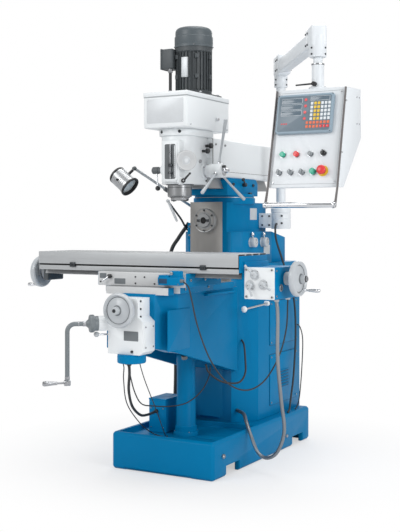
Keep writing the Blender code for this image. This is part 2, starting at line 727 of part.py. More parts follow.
# ---------------------------------------------------------------- knee
def make_knee():
    rear = WAY_SHOULDER - 0.0006
    plan = mirrored([(0.100, KNEE_FRONT), (KNEE_HALF, -0.295), (KNEE_HALF, rear)])
    knee = extruded("knee", plan, "z", 0.400, KNEE_TOP - 0.030)
    recolour(knee, "blue")
    join(knee, block("cross_way", (-KNEE_WAY_HALF, KNEE_FRONT + 0.008, KNEE_TOP - 0.036),
                     (KNEE_WAY_HALF, 0.250, KNEE_TOP)))
    slope = (KNEE_REAR_LOW - KNEE_FRONT_LOW) / (rear - KNEE_FRONT)
    ahead = KNEE_FRONT - 0.05
    behind = rear + 0.05
    below = [(ahead, 0.35), (ahead, KNEE_FRONT_LOW - 0.05 * slope),
             (behind, KNEE_REAR_LOW + 0.05 * slope), (behind, 0.35)]
    groove = mirrored([(WAY_HALF + 2 * SLIDE, WAY_FRONT - SLIDE), (WAY_NECK + 2 * SLIDE, WAY_SHOULDER),
                       (WAY_NECK + 2 * SLIDE, WAY_SHOULDER + 0.02)])
    cut(
        knee,
        extruded("underside", below, "x", -KNEE_HALF - 0.05, KNEE_HALF + 0.05),
        block("knee_hollow", (-KNEE_HALF + KNEE_WALL, -0.280, 0.36), (KNEE_HALF - KNEE_WALL, 0.240, KNEE_ROOF)),
        block("nose_hollow", (-0.080, KNEE_FRONT + KNEE_WALL, 0.36), (0.080, -0.270, KNEE_ROOF)),
        extruded("way_groove", groove, "z", 0.36, KNEE_TOP + 0.02),
        rod("cross_bore", (0, KNEE_FRONT - 0.02, CROSS_Z), (0, -0.20, CROSS_Z), SHAFT_RADIUS + GAP))
    return knee


def make_elevating_screw():
    roof = KNEE_ROOF - GAP
    return turned("elevating_screw", [
        (0, roof), (0.030, roof), (0.040, roof - 0.018), (0.040, roof - 0.030), (SCREW_RADIUS, roof - 0.034),
        (SCREW_RADIUS, 0.300), (0, 0.300)], "steel", (0, SCREW_Y, 0))


def make_gearbox():
    rear = KNEE_FRONT - GAP
    front = [(-0.086, 0.617), (0.085, 0.617), (0.104, 0.632), (0.104, 0.765), (0.076, 0.790), (0.076, 0.873),
             (-0.086, 0.873)]
    box = extruded("gearbox", front, "y", GEARBOX_FRONT, rear)
    recolour(box, "white")
    boss = CRANK_AT + CRANK_OUT * 0.085
    join(box, rod("crank_boss", CRANK_AT - CRANK_OUT * 0.004, boss, 0.034))
    cut(
        box,
        block("gearbox_hollow", (-0.072, GEARBOX_FRONT + 0.014, 0.634), (0.062, rear + 0.01, 0.857)),
        rod("crank_bore", CRANK_AT - CRANK_OUT * 0.03, boss + CRANK_OUT * 0.02, 0.012 + GAP),
        rod("cross_bore", (0, GEARBOX_FRONT - 0.02, CROSS_Z), (0, rear + 0.02, CROSS_Z), SHAFT_RADIUS + GAP))
    cap = rod("feed_motor", (0.012, -0.452, 0.575), (0.012, -0.452, 0.617 - GAP), 0.066, "blue")
    lever = rod("gearbox_lever", (-0.086 - GAP, -0.455, 0.700), (-0.100, -0.455, 0.700), 0.010, "steel")
    tip = Vector((-0.142, -0.512, 0.702))
    join(lever, rod("arm", (-0.097, -0.455, 0.700), tip, 0.0045, sides=10), ball("tip", tip, 0.013))
    return box, cap, lever


def wheel_profile(radius, inner):
    # a dished handwheel with a heavy rim and a long hub, on its shaft or bored
    return [
        (inner, 0.046), (0.018, 0.046), (0.020, 0.022), (radius - 0.020, 0.010), (radius - 0.012, 0.022),
        (radius - 0.003, 0.020), (radius, 0.012), (radius, -0.002), (radius - 0.006, -0.008),
        (radius - 0.018, -0.002), (0.024, 0.010)]


def make_cross_wheel():
    face = GEARBOX_FRONT - GAP
    base = (0, face - 0.032, CROSS_Z)
    profile = wheel_profile(WHEEL_RADIUS, 0.0) + [
        (0.027, -0.002), (0.027, -0.020), (0.031, -0.022), (0.031, -0.032), (SHAFT_RADIUS, -0.032),
        (SHAFT_RADIUS, -0.530), (0, -0.530)]
    return turned("cross_handwheel", profile, "silver", base, (0, -1, 0))


def make_crank():
    start = CRANK_AT + CRANK_OUT * 0.012
    crank = turned("knee_crank", [
        (0, 0.128), (0.012, 0.128), (0.020, 0.118), (0.040, 0.112), (0.040, 0.092), (0.034, 0.090),
        (0.034, 0.073 + GAP), (0.012, 0.073 + GAP), (0.012, 0), (0, 0)], "steel", start, CRANK_OUT)
    bend = 0.035
    elbow = CRANK_AT + CRANK_OUT * 0.226
    route = [CRANK_AT + CRANK_OUT * 0.135]
    for step in range(7):
        angle = math.radians(15 * step)
        back = bend * (1 - math.sin(angle))
        down = bend * (1 - math.cos(angle))
        route.append(elbow - CRANK_OUT * back - Vector((0, 0, down)))
    low = elbow - Vector((0, 0, CRANK_ARM))
    route.append(low)
    join(
        crank,
        as_mesh(pipe("crank_tube", route, 0.0088, fineness=2)),
        rod("crank_eye", low - CRANK_OUT * 0.014, low + CRANK_OUT * 0.014, 0.014, sides=14),
        rod("grip_stem", low + CRANK_OUT * 0.010, low + CRANK_OUT * 0.060, 0.005, sides=10),
        rod("grip", low + CRANK_OUT * 0.045, low + CRANK_OUT * 0.112, 0.008, end_radius=0.012, sides=12))
    return crank


# ---------------------------------------------------------------- saddle and table
def make_saddle():
    saddle = block("saddle", (-SADDLE_HALF, SADDLE_FRONT, SADDLE_LOW), (SADDLE_HALF, SADDLE_REAR, SADDLE_TOP),
                   "silver", 0.003)
    outer = KNEE_WAY_HALF + 0.034
    for side in (-1, 1):
        low, high = sorted((side * (KNEE_WAY_HALF + SLIDE), side * outer))
        join(saddle, block("lip", (low, SADDLE_FRONT + 0.010, 0.890), (high, SADDLE_REAR - 0.010, 0.940)))
    cut(
        saddle,
        extruded("rib_groove", rib_outline(SLIDE), "x", -SADDLE_HALF - 0.02, SADDLE_HALF + 0.02),
        rod("screw_bore", (-SADDLE_HALF - 0.02, TABLE_MIDDLE, LEADSCREW_Z),
            (SADDLE_HALF + 0.02, TABLE_MIDDLE, LEADSCREW_Z), SHAFT_RADIUS + 4 * GAP))
    return saddle


def rib_outline(room):
    # the dovetail under the table, larger by the room given
    wide = 0.090 + room
    narrow = 0.077 + room
    low = RIB_LOW - (GAP if room else 0.0)
    high = TABLE_LOW + 0.002
    return [(TABLE_MIDDLE - wide, low), (TABLE_MIDDLE + wide, low), (TABLE_MIDDLE + narrow, high),
            (TABLE_MIDDLE - narrow, high)]


def make_limit_switch():
    face = SADDLE_FRONT - GAP
    switch = block("limit_switch", (0.118, face - 0.045, 0.930), (0.235, face, 0.976), "blue", 0.004)
    join(switch, block("switch_head", (0.178, face - 0.038, 0.960), (0.232, face - 0.004, 0.996)))
    return switch


def make_table():
    past = 0.02
    left = TABLE_LEFT - past
    right = TABLE_RIGHT + past
    table = block("table", (TABLE_LEFT, TABLE_FRONT, TABLE_LOW), (TABLE_RIGHT, TABLE_REAR, TABLE_TOP), "ground")
    join(table, extruded("rib", rib_outline(0.0), "x", TABLE_LEFT + 0.002, TABLE_RIGHT - 0.002))
    for number in (-1, 0, 1):
        middle = TABLE_MIDDLE + number * SLOT_PITCH
        cut(
            table,
            block("slot_mouth", (left, middle - SLOT_WIDTH / 2, TABLE_TOP - SLOT_LIP - 0.004),
                  (right, middle + SLOT_WIDTH / 2, TABLE_TOP + past)),
            block("slot_foot", (left, middle - SLOT_WIDE / 2, TABLE_TOP - SLOT_DEPTH),
                  (right, middle + SLOT_WIDE / 2, TABLE_TOP - SLOT_LIP)))
    cut(
        table,
        block("front_groove", (left, TABLE_FRONT - past, 1.006), (right, TABLE_FRONT + 0.012, 1.014)),
        block("front_step", (left, TABLE_FRONT - past, TABLE_LOW - past), (right, TABLE_FRONT + 0.004, 1.010)),
        block("screw_channel", (left, TABLE_MIDDLE - 0.016, RIB_LOW - past),
              (right, TABLE_MIDDLE + 0.016, LEADSCREW_Z + 0.016)))
    return table


def make_table_ends():
    middle = TABLE_MIDDLE
    bore = SHAFT_RADIUS + GAP
    left = TABLE_LEFT - GAP
    bracket = block("left_bracket", (left - 0.030, middle - 0.065, 0.925), (left, middle + 0.065, 1.030),
                    "black", 0.004)
    cut(bracket, rod("bore", (left - 0.05, middle, LEADSCREW_Z), (left + 0.02, middle, LEADSCREW_Z), bore))
    right = TABLE_RIGHT + GAP
    inner = right + 0.015
    outer = inner + BOX_WIDTH
    box = block("feed_box", (inner, BOX_FRONT, BOX_LOW), (outer, BOX_REAR, BOX_HIGH), "blue", 0.003)
    join(box, block("box_flange", (right, BOX_FRONT + 0.004, BOX_LOW + 0.012),
                    (inner + 0.004, BOX_REAR + 0.010, TABLE_TOP - SLOT_DEPTH - 0.006)))
    cut(
        box,
        block("box_hollow", (inner + 0.012, BOX_FRONT + 0.012, BOX_LOW + 0.012),
              (outer - 0.012, BOX_REAR - 0.012, BOX_HIGH - 0.012)),
        rod("bore", (right - 0.02, middle, LEADSCREW_Z), (outer + 0.02, middle, LEADSCREW_Z), bore))
    screw = rod("table_leadscrew", (left - 0.110, middle, LEADSCREW_Z), (outer + 0.108, middle, LEADSCREW_Z),
                SHAFT_RADIUS, "steel", sides=16)
    return bracket, box, screw, left - 0.030, outer


def make_table_wheel(name, face, side, handle_angle):
    bore = SHAFT_RADIUS + GAP
    base = (face + side * (GAP + 0.036), TABLE_MIDDLE, LEADSCREW_Z)
    profile = wheel_profile(WHEEL_RADIUS, bore) + [
        (0.030, -0.002), (0.036, -0.006), (0.038, -0.028), (0.030, -0.030), (0.030, -0.036), (bore, -0.036)]
    wheel = turned(name, profile, "silver", base, (side, 0, 0), bored=True)
    turn = math.radians(handle_angle)
    out = Vector((0, math.cos(turn), math.sin(turn))) * (WHEEL_RADIUS - 0.011)
    root = Vector(base) + out + Vector((side * 0.012, 0, 0))
    along = Vector((side, 0, 0))
    join(
        wheel,
        rod("stem", root, root + along * 0.036, 0.0045, sides=10),
        rod("grip", root + along * 0.028, root + along * 0.082, 0.0065, end_radius=0.0095, sides=12))
    return wheel


def feed_lever_places():
    # the dials' centres on the front of the box: from its left side and down from its top
    side = TABLE_RIGHT + GAP + 0.015
    return [(side + 0.0527, BOX_HIGH - 0.035), (side + 0.0297, BOX_HIGH - 0.082), (side + 0.0947, BOX_HIGH - 0.078)]


def make_feed_levers():
    face = BOX_FRONT - GAP
    levers = []
    for number, ((across, up), (reach, rise)) in enumerate(zip(
            feed_lever_places(), ((-0.033, 0.040), (0.020, -0.042), (0.044, -0.018)))):
        hub = Vector((across, face, up))
        lever = rod(f"feed_lever_{number + 1}", hub, hub + Vector((0, -0.022, 0)), 0.0155, "white")
        join(lever, rod("arm", hub + Vector((0, -0.015, 0)), hub + Vector((reach, -0.026, rise)), 0.0042,
                        end_radius=0.0055, sides=10))
        levers.append(lever)
    return levers


# ---------------------------------------------------------------- pendant
panel_down = (PANEL_FOOT - PANEL_TOP).normalized()
panel_out = Vector((0, panel_down.z, -panel_down.y))


def on_panel(across, down, out):
    # a point on the sloping front: across in X, down the slope from its top edge, out from its face
    return Vector((across, 0, 0)) + PANEL_TOP + panel_down * down + panel_out * out


def make_pendant_arm():
    reach = DROP_AT - POST_AT
    middle = (DROP_AT + POST_AT) / 2
    post = rod("pendant_arm", (*POST_AT.xy, 1.250 + GAP), (*POST_AT.xy, ARM_Z), POST_RADIUS, "white")
    join(post, rod("post_collar", (*POST_AT.xy, 1.295 + GAP), (*POST_AT.xy, 1.325), 0.034))
    beam = block("beam", (-reach.length / 2, -ARM_WIDTH / 2, -ARM_HEIGHT / 2),
                 (reach.length / 2, ARM_WIDTH / 2, ARM_HEIGHT / 2), bevel=0.010)
    beam.location = (middle.x, middle.y, ARM_Z)
    beam.rotation_euler = (0, 0, math.atan2(reach.y, reach.x))
    join(
        post, beam,
        rod("post_elbow", (*POST_AT.xy, 1.945), (*POST_AT.xy, 2.120), 0.033),
        rod("drop_elbow", (*DROP_AT.xy, 1.962), (*DROP_AT.xy, 2.108), 0.036))
    wall = ARM_WALL
    hollow = block("beam_hollow", (-reach.length / 2, -ARM_WIDTH / 2 + wall, -ARM_HEIGHT / 2 + wall),
                   (reach.length / 2, ARM_WIDTH / 2 - wall, ARM_HEIGHT / 2 - wall))
    hollow.location = (middle.x, middle.y, ARM_Z)
    hollow.rotation_euler = (0, 0, math.atan2(reach.y, reach.x))
    cut(
        post, hollow,
        rod("post_bore", (*POST_AT.xy, 1.230), (*POST_AT.xy, 2.100), POST_RADIUS - wall),
        rod("drop_bore", (*DROP_AT.xy, 1.940), (*DROP_AT.xy, 2.090), 0.014))
    return post


def make_panel():
    side = [(PANEL_TOP.y, PANEL_TOP.z), (0.030, 1.820), (0.035, 1.600), (-0.180, 1.370),
            (PANEL_FOOT.y, PANEL_FOOT.z)]
    panel = extruded("panel_box", side, "x", PANEL_LEFT, PANEL_RIGHT)
    recolour(panel, "white")
    join(
        panel,
        rod("drop_post", (*DROP_AT.xy, 1.810), (*DROP_AT.xy, 1.930), 0.028),
        rod("drop_neck", (*DROP_AT.xy, 1.925), (*DROP_AT.xy, 1.962 - GAP), 0.021))
    cut(
        panel,
        extruded("panel_hollow", inset(side, PANEL_WALL), "x", PANEL_LEFT + PANEL_WALL,
                 PANEL_RIGHT - PANEL_WALL),
        rod("cable_way", (*DROP_AT.xy, 1.78), (*DROP_AT.xy, 1.98), 0.012))
    for name, across, down, radius, height, finish in CONTROLS:
        if name.endswith(("button", "stop")):
            stem = STOP_STEM if name == "emergency_stop" else radius
            cut(panel, rod("button_hole", on_panel(across, down, -0.02), on_panel(across, down, 0.02),
                           stem + GAP, sides=16))
    return panel


def panel_block(name, low, high, finish="black", bevel=0.0):
    # a block in the sloping front's own directions: across, up the slope, out
    low = Vector(low)
    high = Vector(high)
    piece = block(name, low, high, finish, bevel)
    turn = Matrix((Vector((1, 0, 0)), -panel_down, panel_out)).transposed().to_4x4()
    piece.matrix_world = Matrix.Translation(PANEL_TOP) @ turn @ Matrix.Translation((low + high) / 2)
    return piece


def make_display():
    return panel_block("display_unit", (0.622, -0.212, GAP), (0.892, -0.030, 0.022), "slate", 0.008)


def make_panel_handle():
    bar = 0.004
    depth = 0.015
    left = PANEL_LEFT - GAP
    right = PANEL_RIGHT + GAP
    top = PANEL_TOP + panel_down * 0.002
    foot = PANEL_FOOT
    edge = [top, foot, HANDLE_AT + Vector((0, 0.006, -0.012))]
    outline = [(edge[0].y, edge[0].z), (edge[1].y, edge[1].z), (edge[2].y + 0.006, edge[2].z),
               (edge[2].y - depth, edge[2].z), (edge[1].y - depth, edge[1].z), (edge[0].y - depth, edge[0].z)]
    handle = extruded("panel_handle", outline, "x", left - bar, left)
    recolour(handle, "steel")
    join(
        handle,
        extruded("right_bar", outline, "x", right, right + bar),
        rod("tube", HANDLE_AT + Vector((left - 0.003, 0, 0)), HANDLE_AT + Vector((right + 0.003, 0, 0)), 0.0105,
            sides=16))
    return handle


CONTROLS = (
    ("start_button", 0.663, 0.303, 0.0125, 0.015, "green"),
    ("stop_button", 0.729, 0.303, 0.0125, 0.015, "red"),
    ("jog_button", 0.796, 0.303, 0.0110, 0.013, "grey"),
    ("mode_selector", 0.857, 0.301, 0.0125, 0.012, "black"),
    ("feed_selector", 0.652, 0.385, 0.0125, 0.012, "grey"),
    ("spindle_selector", 0.707, 0.385, 0.0125, 0.012, "grey"),
    ("light_selector", 0.762, 0.385, 0.0125, 0.012, "grey"),
    ("coolant_button", 0.815, 0.384, 0.0140, 0.017, "green"),
    ("emergency_stop", 0.862, 0.382, 0.0210, 0.034, "red"),
)


def make_controls():
    pieces = []
    inside = -PANEL_WALL + GAP
    for name, across, down, radius, height, finish in CONTROLS:
        if name == "emergency_stop":
            piece = turned(name, [
                (0, height), (radius * 0.6, height - 0.001), (radius * 0.95, height - 0.006),
                (radius, height - 0.012), (radius * 0.86, height - 0.016), (STOP_STEM, height - 0.017),
                (STOP_STEM, inside), (0, inside)], finish, on_panel(across, down, 0), panel_out, steps=16)
        elif name.endswith("button"):
            piece = rod(name, on_panel(across, down, inside), on_panel(across, down, height), radius, finish,
                        sides=16)
        else:
            piece = rod(name, on_panel(across, down, GAP), on_panel(across, down, height), radius, finish,
                        sides=16)
            join(piece, panel_block("grip", (across - 0.0035, -down - 0.0115, height - 0.003),
                                    (across + 0.0035, -down + 0.0115, height + 0.009)))
        pieces.append(piece)
    return pieces


# ---------------------------------------------------------------- cables
CONDUIT_ROUTE = (
    (0.648, -0.240, 0.800), (0.620, -0.180, 0.600), (0.590, -0.080, 0.400), (0.560, 0.020, 0.220),
    (0.500, 0.080, 0.080), (0.440, 0.100, 0.025), (0.375, 0.110, 0.045), (0.320, 0.150, 0.140),
    (0.270, 0.200, 0.215), (0.220, 0.265, 0.243))
LOOP_ROUTE = (
    (0.272, -0.388, 0.930), (0.284, -0.380, 0.880), (0.300, -0.345, 0.740), (0.340, -0.300, 0.590),
    (0.400, -0.250, 0.485), (0.470, -0.200, 0.450), (0.540, -0.160, 0.490), (0.600, -0.130, 0.600),
    (0.630, -0.110, 0.730))
KNEE_LEAD_ROUTE = (
    (0.000, -0.452, 0.520), (-0.025, -0.420, 0.440), (-0.065, -0.330, 0.350), (-0.105, -0.200, 0.285),
    (-0.140, -0.080, 0.262))


def lead(name, start, leaving, route, end, arriving, radius, finish):
    # a cable that stands square on both faces it runs between
    start = Vector(start)
    end = Vector(end)
    leaving = Vector(leaving).normalized()
    arriving = Vector(arriving).normalized()
    middle = smooth([start + leaving * radius, *route, end - arriving * radius], 3)
    return pipe(name, [start + leaving * GAP, *middle, end - arriving * GAP], radius, finish)


def make_cables():
    shoulder = Vector((0.114, -0.099, 0)).normalized()
    return (
        lead("conduit", (0.647, -0.250, BOX_LOW), (0, 0, -1), CONDUIT_ROUTE, (0.1485, 0.3296, 0.245),
             -shoulder, 0.009, "silver"),
        lead("loop_cable", (0.235, -0.388, 0.952), (1, 0, 0), LOOP_ROUTE, (0.636, -0.105, BOX_LOW),
             (0, 0, 1), 0.0035, "rubber"),
        lead("knee_lead", (0, -0.455, 0.575), (0, 0, -1), KNEE_LEAD_ROUTE, (-0.152, 0.030, 0.262),
             (0, 1, 0), 0.0065, "rubber"))


# ---------------------------------------------------------------- everything, and what carries what
def main():
    make_base()
    make_column()
    make_rear_cabinet()
    make_pedestal()
    make_sump_box()
    make_arm_bracket()
    arbor = make_arbor()
    levers = {"speed_lever_front": make_speed_lever("speed_lever_front", 0.445),
              "speed_lever_rear": make_speed_lever("speed_lever_rear", 0.580),
              "column_lever": make_column_lever()}
    saddle_block = make_ram_saddle()
    ram = make_ram()
    head = make_head_body()
    cover = make_head_cover()
    motor, cowl, rotor = make_motor()
    pulley, belt, quill, spindle = make_drive()
    capstan = make_capstan()
    feed_lever, clamp = make_head_levers()
    lamp_arm, lamp_shade = make_lamp()
    knee = make_knee()
    screw = make_elevating_screw()
    gearbox, feed_motor, gearbox_lever = make_gearbox()
    cross_wheel = make_cross_wheel()
    crank = make_crank()
    saddle = make_saddle()
    switch = make_limit_switch()
    table = make_table()
    bracket, feed_box, leadscrew, left_face, right_face = make_table_ends()
    left_wheel = make_table_wheel("left_handwheel", left_face, -1, -90)
    right_wheel = make_table_wheel("right_handwheel", right_face, 1, -50)
    feed_levers = make_feed_levers()
    arm = make_pendant_arm()
    panel = make_panel()
    display = make_display()
    handle = make_panel_handle()
    controls = make_controls()
    make_cables()

    carry(carrier("arbor_axis", (0, WAY_FRONT, ARBOR_Z)), arbor)
    carry(carrier("front_lever_axis", (WAIST_HALF, 0.445, 1.112)), levers["speed_lever_front"])
    carry(carrier("rear_lever_axis", (WAIST_HALF, 0.580, 1.112)), levers["speed_lever_rear"])
    carry(carrier("column_lever_axis", (FOOT_HALF, 0.500, 0.790)), levers["column_lever"])
    carry(carrier("lamp_axis", (-TOP_HALF - 0.020, 0.450, 1.285)), lamp_arm)
    carry(carrier("shade_axis", (-0.300, 0.050, 1.495)), lamp_shade)

    swivel = carrier("swivel_axis", (0, TURRET_Y, WAY_TOP))
    carry(swivel, saddle_block)
    slide = carrier("ram_slide", (0, TURRET_Y, DOVE_LOW), swivel)
    carry(slide, ram, head, cover, motor, cowl, belt)
    carry(carrier("motor_axis", (0, MOTOR_Y, COVER_TOP), slide), rotor)
    carry(carrier("pulley_axis", (0, 0, PULLEY_Z), slide), pulley)
    carry(carrier("capstan_axis", (HEAD_HALF, CAPSTAN_Y, CAPSTAN_Z), slide), capstan)
    carry(carrier("feed_lever_axis", (-HEAD_HALF, 0, 1.478), slide), feed_lever)
    carry(carrier("clamp_axis", (0.0795, -0.1017, 1.4185), slide), clamp)
    quill_slide = carrier("quill_slide", (0, 0, QUILL_LOW), slide)
    carry(quill_slide, quill)
    carry(carrier("spindle_axis", (0, 0, NOSE_LOW), quill_slide), spindle)

    knee_slide = carrier("knee_slide", (0, WAY_FRONT, KNEE_TOP))
    carry(knee_slide, knee, gearbox, feed_motor)
    carry(carrier("gearbox_lever_axis", (-0.093, -0.455, 0.700), knee_slide), gearbox_lever)
    carry(carrier("screw_axis", (0, SCREW_Y, 0.300), knee_slide), screw)
    carry(carrier("cross_axis", (0, GEARBOX_FRONT, CROSS_Z), knee_slide), cross_wheel)
    carry(carrier("crank_axis", CRANK_AT, knee_slide), crank)
    saddle_slide = carrier("saddle_slide", (0, TABLE_MIDDLE, KNEE_TOP), knee_slide)
    carry(saddle_slide, saddle, switch)
    table_slide = carrier("table_slide", (0, TABLE_MIDDLE, TABLE_LOW), saddle_slide)
    carry(table_slide, table, bracket, feed_box)
    carry(carrier("leadscrew_axis", (0, TABLE_MIDDLE, LEADSCREW_Z), table_slide), leadscrew, left_wheel,
          right_wheel)
    for lever in feed_levers:
        place = lever.location.copy()
        carry(carrier(lever.name + "_axis", (place.x, BOX_FRONT, place.z), table_slide), lever)

    arm_axis = carrier("arm_axis", POST_AT)
    carry(arm_axis, arm)
    panel_axis = carrier("panel_axis", DROP_AT, arm_axis)
    carry(panel_axis, panel, display, handle)
    for control in controls:
        carry(carrier(control.name + "_axis", control.location.copy(), panel_axis), control)


main()
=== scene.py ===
import json
import math

import bmesh
import bpy
from mathutils import Matrix, Vector


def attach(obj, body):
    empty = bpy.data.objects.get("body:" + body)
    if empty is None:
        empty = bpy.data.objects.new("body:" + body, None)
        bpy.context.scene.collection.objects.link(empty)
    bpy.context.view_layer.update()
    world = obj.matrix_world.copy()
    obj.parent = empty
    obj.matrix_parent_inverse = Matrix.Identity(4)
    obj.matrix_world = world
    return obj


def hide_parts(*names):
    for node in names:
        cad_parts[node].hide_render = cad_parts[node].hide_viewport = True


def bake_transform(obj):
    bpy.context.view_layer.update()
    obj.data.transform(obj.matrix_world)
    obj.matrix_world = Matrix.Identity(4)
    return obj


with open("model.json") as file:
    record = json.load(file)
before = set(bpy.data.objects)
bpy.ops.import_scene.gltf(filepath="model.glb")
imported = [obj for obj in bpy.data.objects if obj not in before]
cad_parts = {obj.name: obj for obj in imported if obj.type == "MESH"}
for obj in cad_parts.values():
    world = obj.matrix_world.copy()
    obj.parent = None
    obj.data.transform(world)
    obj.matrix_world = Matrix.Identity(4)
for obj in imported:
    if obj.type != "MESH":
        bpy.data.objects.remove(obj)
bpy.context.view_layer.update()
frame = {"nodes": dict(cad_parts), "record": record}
print("frame loaded:", len(frame["nodes"]), "solids")


# camera, floor and lamps


def linear(*screen):
    # red, green and blue as on a screen, 0 to 255, turned into what the shader wants
    return tuple(c / 255 / 12.92 if c < 11 else ((c / 255 + 0.055) / 1.055) ** 2.4 for c in screen)


studio = {
    "eye": (2.573, -4.349, 1.213),
    "heading": 29.47,
    "lens": 68.85,
    "shiftDown": -0.0805,
    "floorSize": 60.0,
    "lamps": (
        # name, place, aims at, size, watts
        ("keyLamp", (-2.2, -4.4, 3.6), (0.0, 0.1, 1.0), 2.6, 100),
        ("fillLamp", (4.8, -1.6, 2.4), (0.1, 0.2, 0.9), 3.0, 112),
        ("topLamp", (0.4, 0.6, 5.0), (0.1, 0.1, 1.0), 3.0, 80),
        ("backLamp", (-1.6, 4.6, 3.2), (0.0, 0.4, 1.0), 2.6, 50),
    ),
    "skyLight": 0.52,
    # the floor is clear white beyond shadowRim, and darkest at the middle of the shadow
    "shadowCentre": (0, 0.35, 0),
    "shadowCore": 0.55,
    "shadowRim": 1.35,
    "shadowLeast": 0.5,
}


def makeCamera(scene):
    camera = bpy.data.objects.new("camera", bpy.data.cameras.new("camera"))
    scene.collection.objects.link(camera)
    camera.location = studio["eye"]
    camera.rotation_euler = (math.radians(90), 0, math.radians(studio["heading"]))
    camera.data.sensor_width = 36
    camera.data.lens = studio["lens"]
    camera.data.shift_y = studio["shiftDown"]
    scene.camera = camera


def makeLamps(scene):
    for name, place, target, size, watts in studio["lamps"]:
        lamp = bpy.data.objects.new(name, bpy.data.lights.new(name, "AREA"))
        lamp.data.shape = "DISK"
        lamp.data.size = size
        lamp.data.energy = watts
        lamp.location = place
        lamp.rotation_euler = (Vector(target) - Vector(place)).to_track_quat("-Z", "Y").to_euler()
        scene.collection.objects.link(lamp)


def makeSky(scene):
    # the camera sees plain white, the machine gets the softer sky light
    world = bpy.data.worlds.new("studioSky")
    world.use_nodes = True
    tree = world.node_tree
    sky = tree.nodes["Background"]
    sky.inputs["Color"].default_value = (1, 1, 1, 1)
    sky.inputs["Strength"].default_value = studio["skyLight"]
    seen = tree.nodes.new("ShaderNodeBackground")
    seen.inputs["Color"].default_value = (1, 1, 1, 1)
    mixer = tree.nodes.new("ShaderNodeMixShader")
    rays = tree.nodes.new("ShaderNodeLightPath")
    tree.links.new(rays.outputs["Is Camera Ray"], mixer.inputs[0])
    tree.links.new(sky.outputs[0], mixer.inputs[1])
    tree.links.new(seen.outputs[0], mixer.inputs[2])
    tree.links.new(mixer.outputs[0], tree.nodes["World Output"].inputs[0])
    scene.world = world


def makeFloor(scene):
    ground = bmesh.new()
    bmesh.ops.create_grid(ground, x_segments=1, y_segments=1, size=studio["floorSize"] / 2)
    floorMesh = bpy.data.meshes.new("floor")
    ground.to_mesh(floorMesh)
    ground.free()
    floor = bpy.data.objects.new("floor", floorMesh)
    scene.collection.objects.link(floor)
    paint = Shader("floorPaint", roughness=0.9)
    paint.set("Base Color", (0.86, 0.86, 0.87, 1))
    lit = paint.node("Emission", None, {"Color": (1, 1, 1, 1), "Strength": 1.0})
    rays = paint.node("LightPath", None, None, "Is Camera Ray")
    moved = tuple(-c for c in studio["shadowCentre"])
    spot = paint.node("Mapping", None, {"Vector": paint.place, "Location": moved})
    away = paint.node("VectorMath", {"operation": "LENGTH"}, {0: spot}, "Value")
    clear = paint.node("MapRange", None, {0: away, 1: studio["shadowCore"], 2: studio["shadowRim"],
                                          3: studio["shadowLeast"], 4: 1.0})
    both = paint.node("MixShader", None, {0: rays * clear, 1: Value(paint, paint.bsdf.outputs[0]), 2: lit})
    paint.tree.links.new(both.socket, paint.tree.nodes["Material Output"].inputs[0])
    floor.data.materials.append(paint.material)


def makeStudio():
    scene = bpy.context.scene
    scene.view_settings.view_transform = "Standard"
    makeCamera(scene)
    makeLamps(scene)
    makeSky(scene)
    makeFloor(scene)
    print("studio ready")


# shader maths as Python expressions


class Value:
    def __init__(self, shader, socket):
        self.shader = shader
        self.socket = socket

    def maths(self, operation, first, second=0.0):
        return self.shader.node("Math", {"operation": operation}, {0: first, 1: second})

    def __add__(self, other):
        return self.maths("ADD", self, other)

    def __mul__(self, other):
        return self.maths("MULTIPLY", self, other)

    def __gt__(self, other):
        return self.maths("GREATER_THAN", self, other)


class Shader:
    def __init__(self, name, **own):
        self.material = bpy.data.materials.new(name)
        self.material.use_nodes = True
        self.tree = self.material.node_tree
        self.bsdf = self.tree.nodes["Principled BSDF"]
        for key, value in own.items():
            self.set(key.replace("_", " ").title(), value)
        self.place = self.node("TexCoord", None, None, "Object")

    def feed(self, socket, value):
        if isinstance(value, Value):
            self.tree.links.new(value.socket, socket)
        else:
            socket.default_value = value

    def set(self, key, value):
        socket = next(s for s in self.bsdf.inputs if s.name.lower() == key.lower())
        self.feed(socket, value)

    def node(self, kind, settings=None, inputs=None, output=0):
        made = self.tree.nodes.new("ShaderNode" + kind)
        for key, value in (settings or {}).items():
            if key == "stops":
                ramp = made.color_ramp.elements
                while len(ramp) < len(value):
                    ramp.new(0.5)
                for stop, (position, colour) in zip(ramp, value):
                    stop.position = position
                    stop.color = colour
            else:
                setattr(made, key, value)
        for key, value in (inputs or {}).items():
            self.feed(made.inputs[key], value)
        return Value(self, made.outputs[output])

    def noise(self, scale, detail=2.0, stretch=(1, 1, 1), roughness=0.5):
        place = self.node("Mapping", None, {"Vector": self.place, "Scale": stretch})
        return self.node("TexNoise", None, {
            "Vector": place, "Scale": scale, "Detail": detail, "Roughness": roughness})

    def mix(self, factor, first, second):
        return self.node("Mix", {"data_type": "RGBA"}, {0: factor, 6: (*first, 1), 7: (*second, 1)}, 2)

    def bump(self, height, strength, distance):
        self.set("Normal", self.node("Bump", None, {
            "Height": height, "Strength": strength, "Distance": distance}))


def darker(colour, share):
    return tuple(c * share for c in colour)


def paintFinish(name, colour, roughness=0.34, tone=0.9, peel=0.1, wave=0.25, coat=0.06, specular=0.5):
    # sprayed enamel: orange peel on a slightly uneven casting, with faint changes of tone
    shader = Shader(name, metallic=0.0, coat_weight=coat, coat_roughness=0.18, specular_ior_level=specular)
    patches = shader.noise(3.1, 3)
    shader.set("Base Color", shader.mix(patches, darker(colour, tone), colour))
    shader.set("Roughness", shader.noise(26, 3) * 0.16 + (roughness - 0.08))
    shader.bump(shader.noise(190, 2) * peel + shader.noise(11, 2) * wave, 0.35, 0.0016)
    return shader.material


